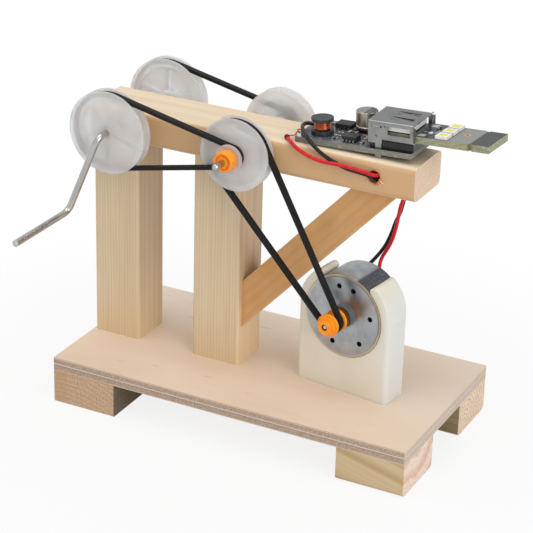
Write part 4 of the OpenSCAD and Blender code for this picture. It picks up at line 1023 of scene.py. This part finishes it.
black_route = [
    (69.1, 31.6, 92.05), (68, 31.6, 92.1), (66.9, 31.3, 92.2), (66.2, 30.5, 92.2),
    (66.1, 29.4, 92.1), (66.5, 28.1, 92), (67.4, 26.6, 92), (68.6, 24.9, 91.9),
    (70.1, 23.1, 91.8), (71.6, 21.5, 91.5), (73.2, 20.5, 90.8), (74.8, 20.1, 89.8),
    (77.1, 20, 88.4), (80.1, 20, 87.1), (84.3, 20, 85.8), (87.7, 19.9, 85.5),
    (89.9, 19.9, 85.3), (91.4, 20.3, 84.9), (92, 21.3, 84.5), (92.2, 22.9, 84.3),
    (92.2, 29.9, 84.2), (92.2, 36.9, 84.2), (92.1, 40.77, 83.84), (92.11, 41.75, 83.07),
    (92.32, 42.51, 81.93), (92.43, 42.84, 80.02), (92.64, 42.85, 77.35), (92.86, 42.75, 74.29),
    (92.88, 42.34, 71.24), (92.49, 42.05, 68.57), (91.81, 41.96, 65.9), (90.72, 41.97, 63.22),
    (89.84, 41.96, 60.17), (88.76, 41.96, 57.12), (87.57, 41.87, 54.45), (86.19, 41.39, 52.16),
    (84.9, 40.42, 50.25), (83.71, 39.27, 48.72), (82.82, 38.12, 47.19), (82.52, 37.89, 46.43),
]
for name, route, cover in (
    ("red_lead", red_route, red_cover), ("black_lead", black_route, black_cover),
):
    points = [on_stand(*point) for point in route]
    lead = line_piece(name + "_wire", [points], LEAD_THICKNESS, cover)
    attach(lead, "stand")
    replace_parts(lead, name)

# Bare strands fan out from each lead's end to its pad
random.seed(7)
red_strand = [
    (63.9, 23.6, 90.1), (64.3, 24.1, 90.3), (65.0, 24.4, 90.4), (65.8, 24.5, 90.6),
    (66.4, 24.5, 91.3), (66.9, 24.4, 91.9), (67.8, 24.3, 91.9),
]
black_strand = [(69.1, 31.6, 92.05), (69.6, 31.6, 92.05), (70.3, 31.6, 92.1)]
strands = []
for route, count in ((red_strand, 5), (black_strand, 4)):
    for index in range(count):
        turn = index * math.tau / count
        spread = [random.uniform(0.05, 0.16) for _ in route]
        side, up = math.cos(turn), math.sin(turn)
        lift = 0.5 * math.sin(turn + 1)
        strands.append([
            on_stand(px + out * side, py + out * up, pz + out * lift)
            for (px, py, pz), out in zip(route, spread)
        ])
# Four turns of strand bind the red lead's end, which runs at half a right angle to the beam
DIAGONAL = 0.707
BINDING_RADIUS, BINDING_TURNS, BINDING_STEPS, BINDING_ADVANCE = 0.64, 4, 16, 0.013
binding = []
for step in range(BINDING_TURNS * BINDING_STEPS + 1):
    turn = step * math.tau / BINDING_STEPS
    along, side = step * BINDING_ADVANCE - 0.1, BINDING_RADIUS * math.cos(turn)
    binding.append(on_stand(
        63.9 + (along + side) * DIAGONAL, 23.6 + (side - along) * DIAGONAL,
        90.04 + BINDING_RADIUS * math.sin(turn)))
strands.append(binding)
# One strand stands up in a loop of a turn and a bit before its pad
LOOP_STEPS = 12
loop = []
for step in range(LOOP_STEPS + 3):
    turn = step * math.tau / LOOP_STEPS
    side, up = 0.55 * math.cos(turn), 0.4 * math.sin(turn)
    loop.append(on_stand(
        66.7 + side * 0.888 - up * 0.2, 25.7 + side * 0.46 + up * 0.36, 91.75 + up * 0.9))
strands.append(loop + [on_stand(66.9, 24.9, 91.9), on_stand(67.8, 24.3, 91.9)])
tarnished = Finish("tarnished_strands", (150, 62, 44), 0.34, 0.8)
darkened = tarnished.grained(0.0009, 0.28, 0.46)
bound = tarnished.spot(tarnished.place(), on_stand(64.2, 23.3, 90.0), 1.4, 0.6)
tarnished.paint(
    (190, 92, 62),
    (darkened.rise(0.35, 0.65), (112, 34, 26)),
    (bound * 0.8, (96, 10, 18)),
)
bare = line_piece("lead_strand_wires", strands, STRAND_THICKNESS, tarnished)
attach(bare, "stand")
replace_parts(bare, "lead_strands")

WINDING_STEPS = 24
winding_low = CIRCUIT_THICKNESS + INDUCTOR_FLANGE + 0.2
winding_high = CIRCUIT_THICKNESS + INDUCTOR_FLANGE + WINDING_GAP - 0.2
coil = []
for step in range(WINDING_TURNS * WINDING_STEPS + 1):
    angle = step * math.tau / WINDING_STEPS
    rise = (winding_high - winding_low) * step / (WINDING_TURNS * WINDING_STEPS)
    coil.append(on_circuit(
        INDUCTOR[0] + WINDING_RADIUS * math.cos(angle),
        INDUCTOR[1] + WINDING_RADIUS * math.sin(angle), winding_low + rise))
winding = line_piece("inductor_coil", [coil], WINDING_THICKNESS, enamel, smooth=False)
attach(winding, "stand")
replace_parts(winding, "inductor_winding")

# Splinters that the drill left at the lead hole, each from its root over its bend to its tip
splinters = []
hole_x, hole_y, hole_z = LEAD_HOLE
near = LEAD_HOLE_RADIUS - 0.1
for angle, reach, curl in ((-14, 1.3, 0.7), (-36, 0.9, 0.5), (-150, 0.5, 0.2)):
    side, up = math.cos(math.radians(angle)), math.sin(math.radians(angle))
    splinters.append([
        on_stand(hole_x + (near + out) * side - back, hole_y - ahead,
                 hole_z + (near + out) * up - sag)
        for out, ahead, back, sag in (
            (0.0, 0.02, 0.0, 0.0), (reach * 0.5, curl, 0.0, 0.1), (reach, curl * 0.6, 0.1, 0.4))
    ])
torn = line_piece("hole_splinters", splinters, SPLINTER_THICKNESS, torn_wood)
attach(torn, "stand")


# Floor, backdrop and lights

WHITE = (1.0, 1.0, 1.0, 1.0)
FLOOR_REACH = 3.0
OBJECT_MIDDLE = Vector((0.0, 0.0, 0.05))


def background_seen(tree):
    """1 for what the camera sees, straight or through frosted plastic, and half for mirrors."""
    camera_ray = tree.add("LightPath", output="Is Camera Ray")
    through = tree.add("LightPath", output="Is Transmission Ray")
    mirrored = tree.add("LightPath", output="Is Glossy Ray")
    return camera_ray.larger(through).larger(mirrored * 0.5)


def stage_floor():
    """A pale floor that keeps the object's shadow and turns white further out."""
    finish = Finish("studio_floor", (234, 234, 234), 0.9)
    x, y, _ = finish.parts(finish.place())
    away = distance(x, y).rise(0.07, 0.17)
    glow = finish.add("Emission", None, {"Color": WHITE})
    plain = Signal(finish, finish.shader.outputs[0])
    factor = background_seen(finish) * (0.84 + away * 0.16)
    blend = finish.add("MixShader", None, {0: factor, 1: plain, 2: glow})
    finish.tree.links.new(blend.socket, finish.tree.nodes["Material Output"].inputs["Surface"])
    mesh = bpy.data.meshes.new("studio_floor")
    corners = [(-1, -1), (1, -1), (1, 1), (-1, 1)]
    points = [(side * FLOOR_REACH, end * FLOOR_REACH, 0) for side, end in corners]
    mesh.from_pydata(points, [], [(0, 1, 2, 3)])
    mesh.materials.append(finish.material)
    floor = bpy.data.objects.new("studio_floor", mesh)
    bpy.context.scene.collection.objects.link(floor)


def soft_light(name, place, power, size):
    """A square panel of light at place, in metres, that faces the object."""
    data = bpy.data.lights.new(name, "AREA")
    data.energy = power
    data.size = size
    panel = bpy.data.objects.new(name, data)
    facing = (OBJECT_MIDDLE - Vector(place)).to_track_quat("-Z", "Y").to_matrix().to_4x4()
    panel.matrix_world = Matrix.Translation(place) @ facing
    bpy.context.scene.collection.objects.link(panel)


def studio_world():
    """White to the camera; for the object a room, brighter in front, to the right and above."""
    world = bpy.data.worlds.new("studio")
    bpy.context.scene.world = world
    world.use_nodes = True
    room = Nodes(world.node_tree)
    x, y, z = room.parts(room.add("TexCoord", output="Generated"))
    strength = (0.58 - y * 0.08 + x * 0.08 + z * 0.08).larger(0.2)
    sky = room.add("Background", None, {"Color": WHITE, "Strength": strength})
    white = room.add("Background", None, {"Color": WHITE})
    blend = room.add("MixShader", None, {0: background_seen(room), 1: sky, 2: white})
    room.tree.links.new(blend.socket, room.tree.nodes["World Output"].inputs["Surface"])


stage_floor()
studio_world()
soft_light("top_panel", (-0.12, -0.1, 0.75), 1.7, 0.5)
soft_light("right_panel", (0.62, -0.36, 0.42), 1.8, 0.4)
bpy.context.scene.view_settings.view_transform = "Standard"
